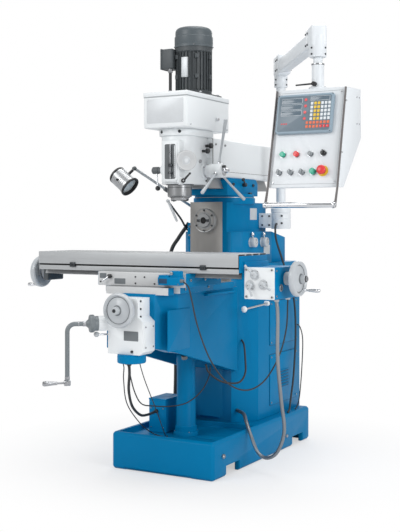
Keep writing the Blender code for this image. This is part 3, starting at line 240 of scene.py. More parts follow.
def groundFinish(name, colour, along=(1, 0, 0), roughness=0.34, metallic=0.9, streak=0.35, mottle=0.1):
    # metal ground or brushed along one direction
    stretch = tuple(3.0 if a else 230.0 for a in along)
    shader = Shader(name, metallic=metallic)
    lines = shader.noise(1.0, 4, stretch, 0.65)
    clouds = shader.noise(14, 3)
    base = shader.mix(lines * streak + clouds * mottle, darker(colour, 0.72), colour)
    shader.set("Base Color", base)
    shader.set("Roughness", lines * 0.2 + (roughness - 0.08))
    shader.bump(lines, 0.14, 0.0006)
    return shader.material


def turnedFinish(name, colour, centre, axis, roughness=0.26, metallic=1.0, pitch=900.0):
    # fine rings from a lathe tool, round an axis
    shader = Shader(name, metallic=metallic)
    spot = shader.node("Mapping", None, {"Vector": shader.place, "Location": tuple(-c for c in centre)})
    rings = shader.node("TexWave", {"wave_type": "RINGS", "rings_direction": axis}, {
        "Vector": spot, "Scale": pitch / 20, "Distortion": 1.2, "Detail": 2.0, "Detail Scale": 3.0}, 1)
    clouds = shader.noise(30, 3)
    shader.set("Base Color", shader.mix(rings * 0.45 + clouds * 0.2, darker(colour, 0.78), colour))
    shader.set("Roughness", rings * 0.1 + (roughness - 0.04))
    shader.bump(rings, 0.1, 0.0004)
    return shader.material


def metalFinish(name, colour, roughness=0.25, metallic=1.0, grain=0.25, scale=60.0):
    # cast, plated or polished metal with a little life in it
    shader = Shader(name, metallic=metallic)
    fine = shader.noise(scale * 5, 3)
    clouds = shader.noise(scale * 0.4, 3)
    shader.set("Base Color", shader.mix(clouds, darker(colour, 0.88), colour))
    shader.set("Roughness", clouds * 0.14 + (roughness - 0.07))
    shader.bump(fine, grain, 0.0004)
    return shader.material


def plasticFinish(name, colour, roughness=0.45, grain=0.18):
    # moulded plastic or rubber with a fine texture
    shader = Shader(name, metallic=0.0)
    fine = shader.noise(900, 2)
    clouds = shader.noise(24, 3)
    shader.set("Base Color", shader.mix(clouds, darker(colour, 0.86), colour))
    shader.set("Roughness", clouds * 0.12 + (roughness - 0.05))
    shader.bump(fine, grain, 0.0003)
    return shader.material


def wayFinish(name, metal, paint, edge):
    # scraped iron above the edge height, blue paint below it, darker than the enamel as painted shade under
    # the knee
    shader = Shader(name)
    height = shader.node("SeparateXYZ", None, {0: shader.place}, 2)
    bare = height > edge
    lines = shader.noise(1.0, 4, (230.0, 230.0, 3.0), 0.65)
    iron = shader.mix(lines * 0.5 + shader.noise(14, 3) * 0.3, darker(metal, 0.78), metal)
    # the blue below the edge is darkened: painted shade under the knee
    coatWithPaintedShade = shader.mix(shader.noise(3.1, 3), darker(paint, 0.72), darker(paint, 0.9))
    shader.set("Base Color", shader.node("Mix", {"data_type": "RGBA"}, {0: bare, 6: coatWithPaintedShade, 7: iron}, 2))
    shader.set("Metallic", bare * 0.35)
    shader.set("Roughness", lines * 0.16 + 0.38)
    shader.bump(lines, 0.14, 0.0006)
    return shader.material


finish = {}


def makeFinishes():
    blue = linear(0, 121, 173)
    white = linear(232, 236, 238)
    finish.update({
        "blue": paintFinish("blueEnamel", blue, tone=0.86, specular=0.07, coat=0.0),
        "blueSmooth": paintFinish("blueSheet", linear(0, 123, 176), peel=0.16, wave=0.04, specular=0.07,
                                  coat=0.0),
        # dark blue: painted shade in the louvre openings and column screw recesses; also the gaps round the
        # doors
        "blueShade": plasticFinish("blueShade", linear(0, 62, 98), 0.5, 0.1),
        "white": paintFinish("whiteEnamel", white, roughness=0.38, tone=0.965, wave=0.12),
        "panelWhite": paintFinish("panelPaint", linear(222, 227, 231), roughness=0.42, tone=0.975, peel=0.22,
                                  wave=0.03, coat=0.1),
        "plate": metalFinish("barePlate", linear(212, 216, 219), 0.4, 0.15, 0.1),
        "saddle": paintFinish("silverPaint", linear(204, 206, 207), roughness=0.36, tone=0.93, peel=0.18,
                              wave=0.12),
        "wheel": paintFinish("wheelPaint", linear(188, 193, 197), roughness=0.3, tone=0.94, peel=0.16,
                             wave=0.1),
        "tableTop": groundFinish("groundTable", linear(200, 203, 205), (1, 0, 0), 0.46, 0.35, 0.35, 0.2),
        "way": wayFinish("groundWay", linear(158, 156, 153), blue, 0.62),
        "crossWay": groundFinish("groundCrossWay", linear(186, 188, 190), (0, 1, 0), 0.38, 0.75, 0.4, 0.3),
        "steel": metalFinish("plainSteel", linear(176, 178, 181), 0.28),
        # dark oiled steel; on the table's underside and slot floors it is painted shade
        "darkSteel": metalFinish("oiledSteelAndShade", linear(74, 77, 80), 0.36, 0.9),
        "chrome": metalFinish("chromePlate", linear(222, 224, 227), 0.13, 1.0, 0.04),
        "crank": metalFinish("crankPaint", linear(122, 129, 133), 0.42, 0.15, 0.4, 40),
        "quill": turnedFinish("quillSteel", linear(178, 180, 182), (0, 0, 0), "Z", 0.28),
        "motor": paintFinish("motorPaint", linear(78, 83, 86), roughness=0.46, tone=0.88, peel=0.5, wave=0.2,
                             coat=0.0, specular=0.35),
        "cowl": paintFinish("cowlPaint", linear(84, 93, 98), roughness=0.44, tone=0.88, peel=0.4, wave=0.2,
                            coat=0.0),
        "black": plasticFinish("blackPlastic", linear(34, 35, 37)),
        "knob": plasticFinish("blackKnob", linear(40, 42, 44), 0.3, 0.05),
        "rubber": plasticFinish("blackRubber", linear(48, 50, 52), 0.62, 0.5),
        # near black: painted shade in screw recesses, vents, the bore and the table's groove; also printed
        # marks and dark joint lines
        "hole": plasticFinish("shadowPlastic", linear(16, 17, 18), 0.7, 0.1),
        "lampShell": groundFinish("lampShell", linear(205, 207, 209), (1, 0, 1), 0.34, 0.7, 0.3, 0.2),
        "greyPart": plasticFinish("greyPart", linear(112, 118, 122), 0.4, 0.2),
        "slate": plasticFinish("slateHousing", linear(146, 166, 180), 0.36, 0.2),
        "screen": plasticFinish("screenFoil", linear(108, 124, 136), 0.34, 0.06),
        "window": plasticFinish("readoutWindow", linear(100, 116, 128), 0.14, 0.0),
        "green": plasticFinish("greenCap", linear(58, 178, 148), 0.26, 0.04),
        "red": plasticFinish("redCap", linear(222, 62, 66), 0.26, 0.04),
        "greyCap": plasticFinish("greyCap", linear(142, 148, 152), 0.3, 0.04),
        "yellow": plasticFinish("yellowRing", linear(236, 196, 56), 0.36, 0.04),
        "orange": plasticFinish("orangeKey", linear(228, 112, 74), 0.36, 0.04),
        "whiteKey": plasticFinish("whiteKey", linear(226, 232, 236), 0.36, 0.04),
        "glass": plasticFinish("lampGlass", linear(214, 222, 224), 0.08, 0.0),
        "seam": plasticFinish("seamLine", linear(168, 173, 176), 0.5, 0.1),
        "sideBar": plasticFinish("sideBar", linear(104, 100, 100), 0.42, 0.2),
        # dark grey paint; in the head's depth stop slot it is painted shade
        "bay": plasticFinish("greyPaintAndBayShade", linear(96, 101, 104), 0.5, 0.2),
        "iron": metalFinish("turnedIron", linear(156, 158, 159), 0.36, 0.45, 0.3),
        "sleeve": metalFinish("steelSleeve", linear(150, 154, 158), 0.34, 0.8, 0.3),
    })


# solids made with bmesh operators


def facing(axis):
    return Vector(axis).to_track_quat("Z", "Y").to_matrix().to_4x4()


def soften(made, width, segments=2, angle=28):
    # rounds the sharp edges
    sharp = [e for e in made.edges if len(e.link_faces) == 2 and e.calc_face_angle(0) > math.radians(angle)]
    bmesh.ops.bevel(made, geom=sharp, offset=width, offset_type="OFFSET", segments=segments, profile=0.5,
                    affect="EDGES", clamp_overlap=True, material=-1)


class Shape:
    def __init__(self):
        self.mesh = bmesh.new()

    def take(self, made, slot, place=None):
        if place is not None:
            bmesh.ops.transform(made, matrix=place, verts=made.verts)
        bmesh.ops.recalc_face_normals(made, faces=made.faces)
        for face in made.faces:
            face.material_index = slot
        return self.join(made)

    def join(self, made):
        scratch = bpy.data.meshes.new("scratch")
        made.to_mesh(scratch)
        made.free()
        self.mesh.from_mesh(scratch)
        bpy.data.meshes.remove(scratch)
        return self

    def box(self, low, high, bevel=0.0, slot=0, place=None, segments=2):
        low = Vector(low)
        high = Vector(high)
        made = bmesh.new()
        bmesh.ops.create_cube(made, size=1.0)
        bmesh.ops.scale(made, vec=high - low, verts=made.verts)
        bmesh.ops.translate(made, vec=(low + high) / 2, verts=made.verts)
        if bevel:
            soften(made, bevel, segments)
        return self.take(made, slot, place)

    def rod(self, start, end, radius, endRadius=None, steps=32, bevel=0.0, slot=0):
        start = Vector(start)
        end = Vector(end)
        made = bmesh.new()
        bmesh.ops.create_cone(made, cap_ends=True, segments=steps, radius1=radius,
                              radius2=radius if endRadius is None else endRadius, depth=(end - start).length)
        if bevel:
            soften(made, bevel, 2, 50)
        return self.take(made, slot, Matrix.Translation((start + end) / 2) @ facing(end - start))

    def ball(self, centre, radius, slot=0, steps=24):
        made = bmesh.new()
        bmesh.ops.create_uvsphere(made, u_segments=steps, v_segments=steps // 2, radius=radius)
        return self.take(made, slot, Matrix.Translation(centre))

    def turned(self, profile, base=(0, 0, 0), axis=(0, 0, 1), steps=48, slot=0, bevel=0.0, closed=False):
        made = bmesh.new()
        ring = [made.verts.new((radius, 0.0, height)) for radius, height in profile]
        for first, second in zip(ring, ring[1:] + (ring[:1] if closed else [])):
            made.edges.new((first, second))
        bmesh.ops.spin(made, geom=made.verts[:] + made.edges[:], cent=(0, 0, 0), axis=(0, 0, 1),
                       dvec=(0, 0, 0), angle=math.tau, steps=steps, use_merge=True)
        bmesh.ops.remove_doubles(made, verts=made.verts, dist=0.000002)
        bmesh.ops.recalc_face_normals(made, faces=made.faces)
        if bevel:
            soften(made, bevel, 2, 35)
        return self.take(made, slot, Matrix.Translation(base) @ facing(axis))

    def plate(self, outline, thickness, place, bevel=0.0, slot=0):
        # a flat outline in the XY plane, extruded up its Z by the thickness
        made = bmesh.new()
        face = made.faces.new([made.verts.new((x, y, 0.0)) for x, y in outline])
        grown = bmesh.ops.extrude_face_region(made, geom=[face])["geom"]
        bmesh.ops.translate(made, vec=(0, 0, thickness),
                            verts=[v for v in grown if isinstance(v, bmesh.types.BMVert)])
        bmesh.ops.recalc_face_normals(made, faces=made.faces)
        if bevel:
            soften(made, bevel, 2)
        return self.take(made, slot, place)

    def screw(self, at, axis, radius, slot=0, hole=1):
        # a socket head cap screw: its six-sided recess is a thin dark hexagon sunk almost flush in the head's
        # top, painted shade
        made = bmesh.new()
        bmesh.ops.create_cone(made, cap_ends=True, segments=18, radius1=radius, radius2=radius, depth=radius)
        bmesh.ops.translate(made, vec=(0, 0, radius / 2), verts=made.verts)
        rim = [e for e in made.edges if all(v.co.z > radius * 0.9 for v in e.verts)]
        bmesh.ops.bevel(made, geom=rim, offset=radius * 0.14, offset_type="OFFSET", segments=1, profile=0.5,
                        affect="EDGES", clamp_overlap=True, material=-1)
        self.take(made, slot, Matrix.Translation(at) @ facing(axis))
        # the recess takes the hole finish: painted shade
        recess = bmesh.new()
        bmesh.ops.create_cone(recess, cap_ends=True, segments=6, radius1=radius * 0.5, radius2=radius * 0.5,
                              depth=radius * 0.1)
        bmesh.ops.translate(recess, vec=(0, 0, radius * 0.97), verts=recess.verts)
        return self.take(recess, hole, Matrix.Translation(at) @ facing(axis))

    def cast(self, node, bevel, segments=2, slots=None):
        # the solid's own shape with its edges rounded; slots picks a finish by where a face lies
        made = bmesh.new()
        made.from_mesh(frame["nodes"][node].data)
        bmesh.ops.remove_doubles(made, verts=made.verts, dist=0.00002)
        bmesh.ops.dissolve_limit(made, angle_limit=math.radians(0.6), verts=made.verts, edges=made.edges)
        for face in made.faces:
            face.material_index = slots(face.calc_center_median(), face.normal) if slots else 0
        soften(made, bevel, segments)
        return self.join(made)

    def piece(self, name, body, finishes, node=None, slot=None, angle=34):
        mesh = bpy.data.meshes.new(name)
        self.mesh.to_mesh(mesh)
        self.mesh.free()
        mesh.shade_smooth()
        mesh.set_sharp_from_angle(angle=math.radians(angle))
        for key in finishes:
            mesh.materials.append(finish[key])
        made = bpy.data.objects.new(name, mesh)
        bpy.context.scene.collection.objects.link(made)
        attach(made, body)
        if node:
            for one in [node] if isinstance(node, str) else node:
                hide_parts(one)
                slot = slot or slotOf(one)
        return made


def slotOf(node):
    return next(s["material_slot"] for s in frame["record"]["subparts"] if s["node"] == node)


def arc(centre, radius, start, end, steps):
    return [(centre[0] + radius * math.cos(math.radians(start + (end - start) * k / steps)),
             centre[1] + radius * math.sin(math.radians(start + (end - start) * k / steps)))
            for k in range(steps + 1)]


def roundedBox(width, height, radius, steps=5):
    # an outline with round corners, centred
    w = width / 2 - radius
    h = height / 2 - radius
    return (arc((w, -h), radius, -90, 0, steps) + arc((w, h), radius, 0, 90, steps)
            + arc((-w, h), radius, 90, 180, steps) + arc((-w, -h), radius, 180, 270, steps))


def onSide(x, y, z, out=1):
    # a plate's own X runs along +Y and its own Y up, facing +X, or -X on the other side where out is -1
    return Matrix(((0, 0, out, x * out), (1, 0, 0, y), (0, 1, 0, z), (0, 0, 0, 1)))


def onFront(x, y, z):
    # a plate's own X runs along +X and its own Y up, facing -Y
    return Matrix(((1, 0, 0, x), (0, 0, -1, y), (0, 1, 0, z), (0, 0, 0, 1)))


def curved(points, between=8):
    # a smooth line through the points
    points = [Vector(p) for p in points]
    ends = [2 * points[0] - points[1]] + points + [2 * points[-1] - points[-2]]
    route = []
    for before, here, there, after in zip(ends, ends[1:], ends[2:], ends[3:]):
        for step in range(between):
            t = step / between
            route.append(0.5 * (
                2 * here + (there - before) * t
                + (2 * before - 5 * here + 4 * there - after) * t * t
                + (3 * here - before - 3 * there + after) * t ** 3))
    return route + [points[-1]]


def lengthOf(route):
    return sum((b - a).length for a, b in zip(route, route[1:]))


def evenly(route, pitch):
    # the same line with points a fixed distance apart
    total = lengthOf(route)
    count = max(2, round(total / pitch))
    made = [route[0].copy()]
    gone = 0.0
    wanted = total / count
    for a, b in zip(route, route[1:]):
        span = (b - a).length
        while span > 0 and gone + span >= wanted * len(made) - 1e-9 and len(made) < count:
            made.append(a.lerp(b, (wanted * len(made) - gone) / span))
        gone += span
    return made + [route[-1].copy()]


def tube(name, route, radius, finishKey, sides=4, ribs=0.0):
    # a round cord along the route; ribs narrows every other ring of it
    curve = bpy.data.curves.new(name, "CURVE")
    curve.dimensions = "3D"
    curve.bevel_depth = radius
    curve.bevel_resolution = sides
    curve.use_fill_caps = True
    line = curve.splines.new("POLY")
    line.points.add(len(route) - 1)
    for number, (point, place) in enumerate(zip(line.points, route)):
        point.co = (*place, 1.0)
        point.radius = 1.0 - ribs * (number % 2)
    line.use_smooth = True
    line = bpy.data.objects.new(name, curve)
    bpy.context.scene.collection.objects.link(line)
    bpy.context.view_layer.update()
    mesh = bpy.data.meshes.new_from_object(line.evaluated_get(bpy.context.evaluated_depsgraph_get()))
    mesh.name = name
    bpy.data.objects.remove(line, do_unlink=True)
    made = bpy.data.objects.new(name, mesh)
    bpy.context.scene.collection.objects.link(made)
    mesh.materials.clear()
    mesh.materials.append(finish[finishKey])
    return made


# cables and hoses

cables = {
    "conduit": {
        "radius": 0.009, "pitch": 0.0026, "ribs": 0.16,
        "route": ((0.648, -0.24, 0.8), (0.62, -0.18, 0.6), (0.59, -0.08, 0.4), (0.56, 0.02, 0.235),
                  (0.5, 0.075, 0.12), (0.435, 0.1, 0.076), (0.375, 0.118, 0.092), (0.322, 0.15, 0.158),
                  (0.27, 0.2, 0.215), (0.22, 0.265, 0.243)),
        "start": (0.647, -0.25, 0.874), "leaving": (0, 0, -1),
        "end": (0.1485, 0.3296, 0.245), "arriving": (-0.755, 0.656, 0),
        "splits": (0.3, 0.55),
    },
    "loopCable": {
        "radius": 0.0035,
        "route": ((0.272, -0.388, 0.93), (0.284, -0.38, 0.88), (0.3, -0.345, 0.74), (0.34, -0.3, 0.59),
                  (0.4, -0.25, 0.485), (0.47, -0.2, 0.45), (0.54, -0.16, 0.49), (0.6, -0.13, 0.6),
                  (0.63, -0.11, 0.73)),
        "start": (0.235, -0.388, 0.952), "leaving": (1, 0, 0),
        "end": (0.636, -0.105, 0.874), "arriving": (0, 0, 1),
    },
    "kneeLead": {
        "radius": 0.0065,
        "route": ((0.0, -0.452, 0.52), (-0.025, -0.42, 0.44), (-0.065, -0.33, 0.35),
                  (-0.105, -0.2, 0.285), (-0.14, -0.08, 0.262)),
        "start": (0, -0.455, 0.575), "leaving": (0, 0, -1),
        "end": (-0.152, 0.03, 0.262), "arriving": (0, 1, 0),
    },
}


def cableRoute(facts):
    start = Vector(facts["start"])
    end = Vector(facts["end"])
    leaving = Vector(facts["leaving"]).normalized()
    arriving = Vector(facts["arriving"]).normalized()
    radius = facts["radius"]
    gap = 0.0003  # between touching pieces
    middle = curved([start + leaving * radius, *facts["route"], end - arriving * radius])
    return evenly([start + leaving * gap, *middle, end - arriving * gap], facts.get("pitch", 0.008))


def declare(made, route):
    lengthOf(route)
    print("cord", made.name, round(lengthOf(route), 3), "m")


def makeCables():
    facts = cables["conduit"]
    route = cableRoute(facts)
    cuts = [0, *(round(len(route) * share) // 2 * 2 for share in facts["splits"]), len(route) - 1]
    spans = (("conduitUpper", "table", "saddle"), ("conduitMiddle", "saddle", "knee"),
             ("conduitLower", "knee", "frame"))
    for (name, first, second), a, b in zip(spans, cuts, cuts[1:]):
        part = route[a:b + 1]
        made = tube(name, part, facts["radius"], "sleeve", 3, facts["ribs"])
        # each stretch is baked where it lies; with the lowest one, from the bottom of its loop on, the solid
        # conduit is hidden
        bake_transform(made)
        if name == "conduitLower":
            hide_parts("conduit")
        declare(made, part)
    for name, node, first, second in (("loopCable", "loop_cable", "saddle", "table"),
                                      ("kneeLead", "knee_lead", "knee", "frame")):
        facts = cables[name]
        route = cableRoute(facts)
        made = tube(name, route, facts["radius"], "rubber", 3)
        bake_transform(made)
        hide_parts(node)
        declare(made, route)
    print("cables laid")


# motor and belt housing

motor = {
    "centre": (0, 0.14), "foot": 1.8526, "top": 2.0998, "radius": 0.0945, "core": 0.084, "fins": 30,
    "finThick": 0.004, "platePlace": (-0.017, 0.0445, 1.945), "plateSize": (0.034, 0.1),
    "boltReach": 0.09, "conduit": (-0.086, 0.052), "lugs": (0, -51, -127),
    "cowlTop": 2.202, "cowlWall": 0.004, "cowlRound": 0.025,
}


def makeMotor():
    x, y = motor["centre"]
    foot, top, radius, core = motor["foot"], motor["top"], motor["radius"], motor["core"]
    body = Shape()
    body.box((-0.105, y - 0.105, foot), (0.105, y + 0.105, foot + 0.01), 0.002)
    body.turned([(0, foot + 0.01), (0.09, foot + 0.01), (0.092, foot + 0.014), (0.092, foot + 0.026),
                 (core, foot + 0.032), (core, top - 0.03), (radius, top - 0.022), (radius, top), (0, top)],
                (x, y, 0), steps=64)
    for number in range(motor["fins"]):
        angle = math.tau * number / motor["fins"]
        turn = Matrix.Translation((x, y, 0)) @ Matrix.Rotation(angle, 4, "Z")
        body.box((core - 0.004, -motor["finThick"] / 2, foot + 0.03),
                 (radius - 0.001, motor["finThick"] / 2, top - 0.024), 0.0006, place=turn, segments=1)
    for sx in (-motor["boltReach"], motor["boltReach"]):
        for sy in (-motor["boltReach"], motor["boltReach"]):
            at = Vector((x + sx, y + sy, foot + 0.01))
            body.screw(at, (0, 0, 1), 0.007, slot=1, hole=2)
            body.rod(at - Vector((0, 0, 0.0002)), at + Vector((0, 0, 0.0015)), 0.0095, slot=1)
    # terminal box, its lid and the pipe under it
    body.box((-0.135, 0.043, 1.993), (-0.07, 0.132, 2.094), 0.007, segments=3)
    body.box((-0.14, 0.04, 1.99), (-0.131, 0.135, 2.096), 0.004)
    for sy in (0.05, 0.125):
        for z in (2.0, 2.086):
            body.screw((-0.1398, sy, z), (-1, 0, 0), 0.0032, slot=1, hole=2)
    pipe = motor["conduit"]
    body.rod((*pipe, 1.998), (*pipe, foot + 0.01), 0.0078, slot=3)
    body.rod((*pipe, 1.992), (*pipe, 1.972), 0.0115, steps=6, bevel=0.001, slot=1)
    body.rod((*pipe, foot + 0.012), (*pipe, foot + 0.03), 0.0115, steps=6, bevel=0.001, slot=1)
    px, py, pz = motor["platePlace"]
    width, height = motor["plateSize"]
    body.box((px, py - 0.0005, pz), (px + width, py + 0.012, pz + height), 0.0008, slot=4)
    for sx in (px + 0.004, px + width - 0.004):
        for z in (pz + 0.005, pz + height - 0.005):
            body.ball((sx, py, z), 0.0014, slot=1, steps=10)
    for angle in motor["lugs"]:
        turn = Matrix.Translation((x, y, 0)) @ Matrix.Rotation(math.radians(angle), 4, "Z")
        for z in (foot + 0.086, top - 0.06):
            body.box((0.08, -0.01, z), (0.1, 0.01, z + 0.022), 0.003, place=turn)
    body.piece("motorBody", "ram", ["motor", "steel", "hole", "black", "plate"], "motor_body")
    print("motor done")


def makeCowl():
    x, y = motor["centre"]
    outer = motor["radius"] + 0.0033
    top, wall, bend = motor["cowlTop"], motor["cowlWall"], motor["cowlRound"]
    middle = (outer - wall - bend, top - bend)
    waist = [(outer - wall, 2.158), (outer, 2.154), (outer, 2.116), (outer - 0.0008, 2.1145),
             (outer - 0.0008, 2.112), (outer, 2.1105), (outer, 2.1003), (outer - wall, 2.1003)]
    cowl = Shape()
    cowl.turned([(0, top), *arc(middle, bend, 90, 0, 8), *waist, *arc(middle, bend - wall, 0, 90, 6),
                 (0, top - wall)], (x, y, 0), steps=64)
    # vent slots in the top: thin black boxes, painted shade in the openings
    for ring, count in ((0.028, 10), (0.046, 16), (0.064, 22)):
        for number in range(count):
            turn = Matrix.Translation((x, y, 0)) @ Matrix.Rotation(math.tau * number / count, 4, "Z")
            cowl.box((ring - 0.006, -0.0022, top - 0.0006), (ring + 0.006, 0.0022, top + 0.0002), slot=1,
                     place=turn)
    for angle in (-150, -60, 30, 120):
        side = Vector((math.cos(math.radians(angle)), math.sin(math.radians(angle)), 0))
        cowl.screw(Vector((x, y, 2.1075)) + side * (outer - 0.0006), side, 0.0036, slot=2, hole=1)
    cowl.piece("motorCowl", "ram", ["cowl", "hole", "steel"], "motor_cowl")
    print("cowl done")


coverFacts = {"half": 0.125, "front": -0.142, "rear": 0.291, "low": 1.676, "seam": 1.829, "top": 1.852,
              "plate": ((-0.104, 1.699), (0.104, 1.818))}


def makeCover():
    half, front, rear = coverFacts["half"], coverFacts["front"], coverFacts["rear"]
    low, seam, top = coverFacts["low"], coverFacts["seam"], coverFacts["top"]
    cover = Shape()
    cover.box((-half + 0.0015, front + 0.0015, low), (half - 0.0015, rear - 0.0015, seam), 0.008, segments=3)
    cover.box((-half + 0.0022, front + 0.0022, seam - 0.003), (half - 0.0022, rear - 0.0022, seam + 0.003),
              slot=4)
    cover.box((-half, front, seam + 0.001), (half, rear, top), 0.004, segments=3)
    (x0, z0), (x1, z1) = coverFacts["plate"]
    cover.plate(roundedBox(x1 - x0, z1 - z0, 0.006), 0.0014, onFront((x0 + x1) / 2, front + 0.0016,
                                                                     (z0 + z1) / 2),
                0.0004, slot=1)
    for sx in (x0 + 0.007, x1 - 0.007):
        for z in (z0 + 0.007, z1 - 0.007):
            cover.ball((sx, front + 0.0002, z), 0.0024, slot=3, steps=12)
    cover.turned([(0, 0.016), (0.008, 0.016), (0.0095, 0.013), (0.0095, 0.006), (0.005, 0.003), (0.005, 0)],
                 (half - 0.0018, 0.15, 1.735), (1, 0, 0), steps=24, slot=3)
    for y in (-0.11, 0.262):
        cover.screw((half - 0.0016, y, 1.69), (1, 0, 0), 0.0042, slot=3, hole=2)
        cover.screw((-half + 0.0016, y, 1.69), (-1, 0, 0), 0.0042, slot=3, hole=2)
    cover.piece("headCover", "ram", ["white", "plate", "hole", "chrome", "seam"], "head_cover")
    print("belt housing done")


# head, ram and their saddle

headFacts = {"half": 0.089, "flange": 0.101, "front": -0.11, "low": 1.405, "high": 1.646, "neckTop": 1.6757,
             "window": ((-0.022, 1.424), (0.047, 1.602)), "boss": 1.517, "scaleMarks": 15,
             "threadPitch": 0.0016, "clampOut": (0.55557, -0.83147, 0)}


def makeHead():
    half, front, flange = headFacts["half"], headFacts["front"], headFacts["flange"]
    low, high = headFacts["low"], headFacts["high"]
    head = Shape()
    # a round-fronted casting under a round-fronted flange
    for radius, foot, top, back in ((half, low, high, 0.12), (flange, high - 0.004, headFacts["neckTop"],
                                                              0.165)):
        side = arc((0, 0), radius, -90, 0, 20) + [(radius, back)]
        head.plate(side + [(-a, b) for a, b in reversed(side[1:])], top - foot,
                   Matrix.Translation((0, 0, foot)), 0.0035)
    for angle in (-120, -60):
        out = Vector((math.cos(math.radians(angle)), math.sin(math.radians(angle)), 0))
        head.turned([(0, 0.0036), (0.0064, 0.0036), (0.008, 0.0024), (0.008, -0.002)],
                    Vector((0, 0, 1.661)) + out * flange, out, steps=24, slot=1)
    # flat pads and bosses for the window, the levers and the feed hub
    head.box((-0.04, front, 1.412), (0.062, -0.06, 1.618), 0.006, segments=3)
    head.turned([(0.0125, 0.018), (0.0385, 0.018), (0.0385, 0.026), (0.034, 0.032), (0.0125, 0.032)],
                (0.068, 0.088, 1.473), (1, 0, 0), steps=48, closed=True)
    head.turned([(0.028, 0), (0.028, 0.026), (0.024, 0.03), (0, 0.03)], (-0.07, 0, 1.478), (-1, 0, 0),
                steps=40)
    head.turned([(0.02, 0), (0.018, 0.046), (0.015, 0.05), (0, 0.05)], (0.044, -0.0658, 1.4185),
                headFacts["clampOut"], steps=40)
    # depth stop: a framed slot with a threaded rod and a nut
    (x0, z0), (x1, z1) = headFacts["window"]
    middle = (x0 + x1) / 2
    head.plate(roundedBox(x1 - x0 + 0.012, z1 - z0 + 0.012, 0.012, 6), 0.006,
               onFront(middle, front + 0.002, (z0 + z1) / 2), 0.0018, slot=0)
    # the slot's inside is a flat grey plate, painted shade
    head.plate(roundedBox(x1 - x0 - 0.008, z1 - z0 - 0.008, 0.008, 6), 0.0008,
               onFront(middle, front - 0.0036, (z0 + z1) / 2), 0, slot=6)
    rod = middle + 0.004
    head.rod((rod, front - 0.0085, z0 + 0.006), (rod, front - 0.0085, z1 - 0.006), 0.0052, slot=2)
    pitch = headFacts["threadPitch"]
    turns = math.ceil((z1 - z0 - 0.02) / pitch)
    thread = [(0.0062 if n % 2 else 0.005, z0 + 0.01 + n * pitch) for n in range(turns)]
    head.turned([(0, thread[0][1])] + thread + [(0, thread[-1][1])], (rod, front - 0.0085, 0), steps=20,
                slot=2)
    head.turned([(0, 1.486), (0.01, 1.486), (0.0115, 1.488), (0.0115, 1.5), (0.01, 1.502), (0, 1.502)],
                (rod, front - 0.0085, 0), steps=36, slot=1)
    head.box((rod - 0.011, front - 0.014, 1.452), (rod + 0.011, front - 0.001, 1.463), 0.0015, slot=1)
    head.box((x1 - 0.011, front - 0.0048, z0 + 0.012), (x1 - 0.006, front - 0.0034, z1 - 0.012), 0.0003,
             slot=4)
    for n in range(headFacts["scaleMarks"]):
        z = z0 + 0.018 + n * 0.01
        reach = 0.0044 if n % 5 == 0 else 0.0028
        head.box((x1 - 0.0108, front - 0.0051, z), (x1 - 0.0108 + reach, front - 0.0046, z + 0.001), slot=3)
    # round boss for the feed gearing on the right front corner
    out = Vector((math.sqrt(0.5), -math.sqrt(0.5), 0))
    boss = Vector((0, 0, headFacts["boss"]))
    head.turned([(0.02, 0.129), (0.026, 0.131), (0.04, 0.138), (0.047, 0.1388), (0.05, 0.136),
                 (0.05, 0.13), (0.044, 0.124), (0.036, 0.12), (0.036, 0.07)], boss, out, steps=56, slot=7)
    head.turned([(0, 0.132), (0.011, 0.132), (0.015, 0.1292), (0.0205, 0.129)], boss, out, steps=40, slot=4)
    # fittings at the rear of the right side
    for y, z in ((0.072, 1.572), (0.106, 1.6)):
        head.turned([(0, 0.038), (0.011, 0.038), (0.0135, 0.034), (0.0135, 0.024), (0.007, 0.018),
                     (0.007, 0)],
                    (half - 0.0003, y, z), (1, 0, 0), steps=28, slot=5)
    head.turned([(0, 0.007), (0.0085, 0.007), (0.01, 0.005), (0.01, 0)], (half - 0.0003, 0.045, 1.52),
                (1, 0, 0), steps=28, slot=2)
    for y, z in ((0.108, 1.425), (0.108, 1.6)):
        head.screw((half - 0.0006, y, z), (1, 0, 0), 0.0046, slot=1, hole=3)
        head.screw((-half + 0.0006, y, z), (-1, 0, 0), 0.0046, slot=1, hole=3)
    # the bright ring where the quill comes out
    head.turned([(0.0608, low + 0.004), (0.0608, low - 0.003), (0.069, low - 0.003), (0.0715, low + 0.001),
                 (0.0715, low + 0.004)], steps=64, slot=1, closed=True)
    head.piece("headBody", "ram", ["white", "darkSteel", "steel", "hole", "plate", "knob", "bay", "saddle"],
               "head_body")
    print("head done")


def makeSpindle():
    quill = Shape()
    quill.turned([(0.0353, 1.63), (0.0605, 1.63), (0.0605, 1.35), (0.059, 1.3485), (0.059, 1.3465),
                  (0.0598, 1.3455), (0.058, 1.343), (0.0353, 1.343)], steps=72, closed=True)
    quill.turned([(0.0607, 1.389), (0.0607, 1.3868), (0.06, 1.3868), (0.06, 1.389)], steps=72, closed=True,
                 slot=1)
    for n in range(4):
        turn = Matrix.Rotation(math.radians(45 + 90 * n), 4, "Z")
        quill.screw(turn @ Vector((0.049, 0, 1.3432)), (0, 0, -1), 0.0038, slot=1, hole=1)
    quill.piece("quillSleeve", "quill", ["quill", "darkSteel"], "quill")
    nose = Shape()
    nose.turned([(0, 1.842), (0.02, 1.842), (0.02, 1.628), (0.035, 1.626), (0.035, 1.3427), (0.0435, 1.3427),
                 (0.045, 1.3412), (0.045, 1.329), (0.043, 1.326), (0.0235, 1.326), (0.022, 1.3275),
                 (0.012, 1.416), (0, 1.416)], steps=64)
    for side in (-1, 1):
        low, high = sorted((side * 0.0238, side * 0.0455))
        nose.box((low, -0.008, 1.3225), (high, 0.008, 1.332), 0.0008, slot=1)
        nose.screw((side * 0.034, 0, 1.323), (0, 0, -1), 0.0034, slot=0, hole=2)
    nose.piece("spindleNose", "vertical_spindle", ["quill", "darkSteel", "hole"], "vertical_spindle")
    print("quill and spindle done")


capstanFacts = {"centre": (0.1003, 0.088, 1.473), "arms": (87, 207, 327), "reach": 0.255}


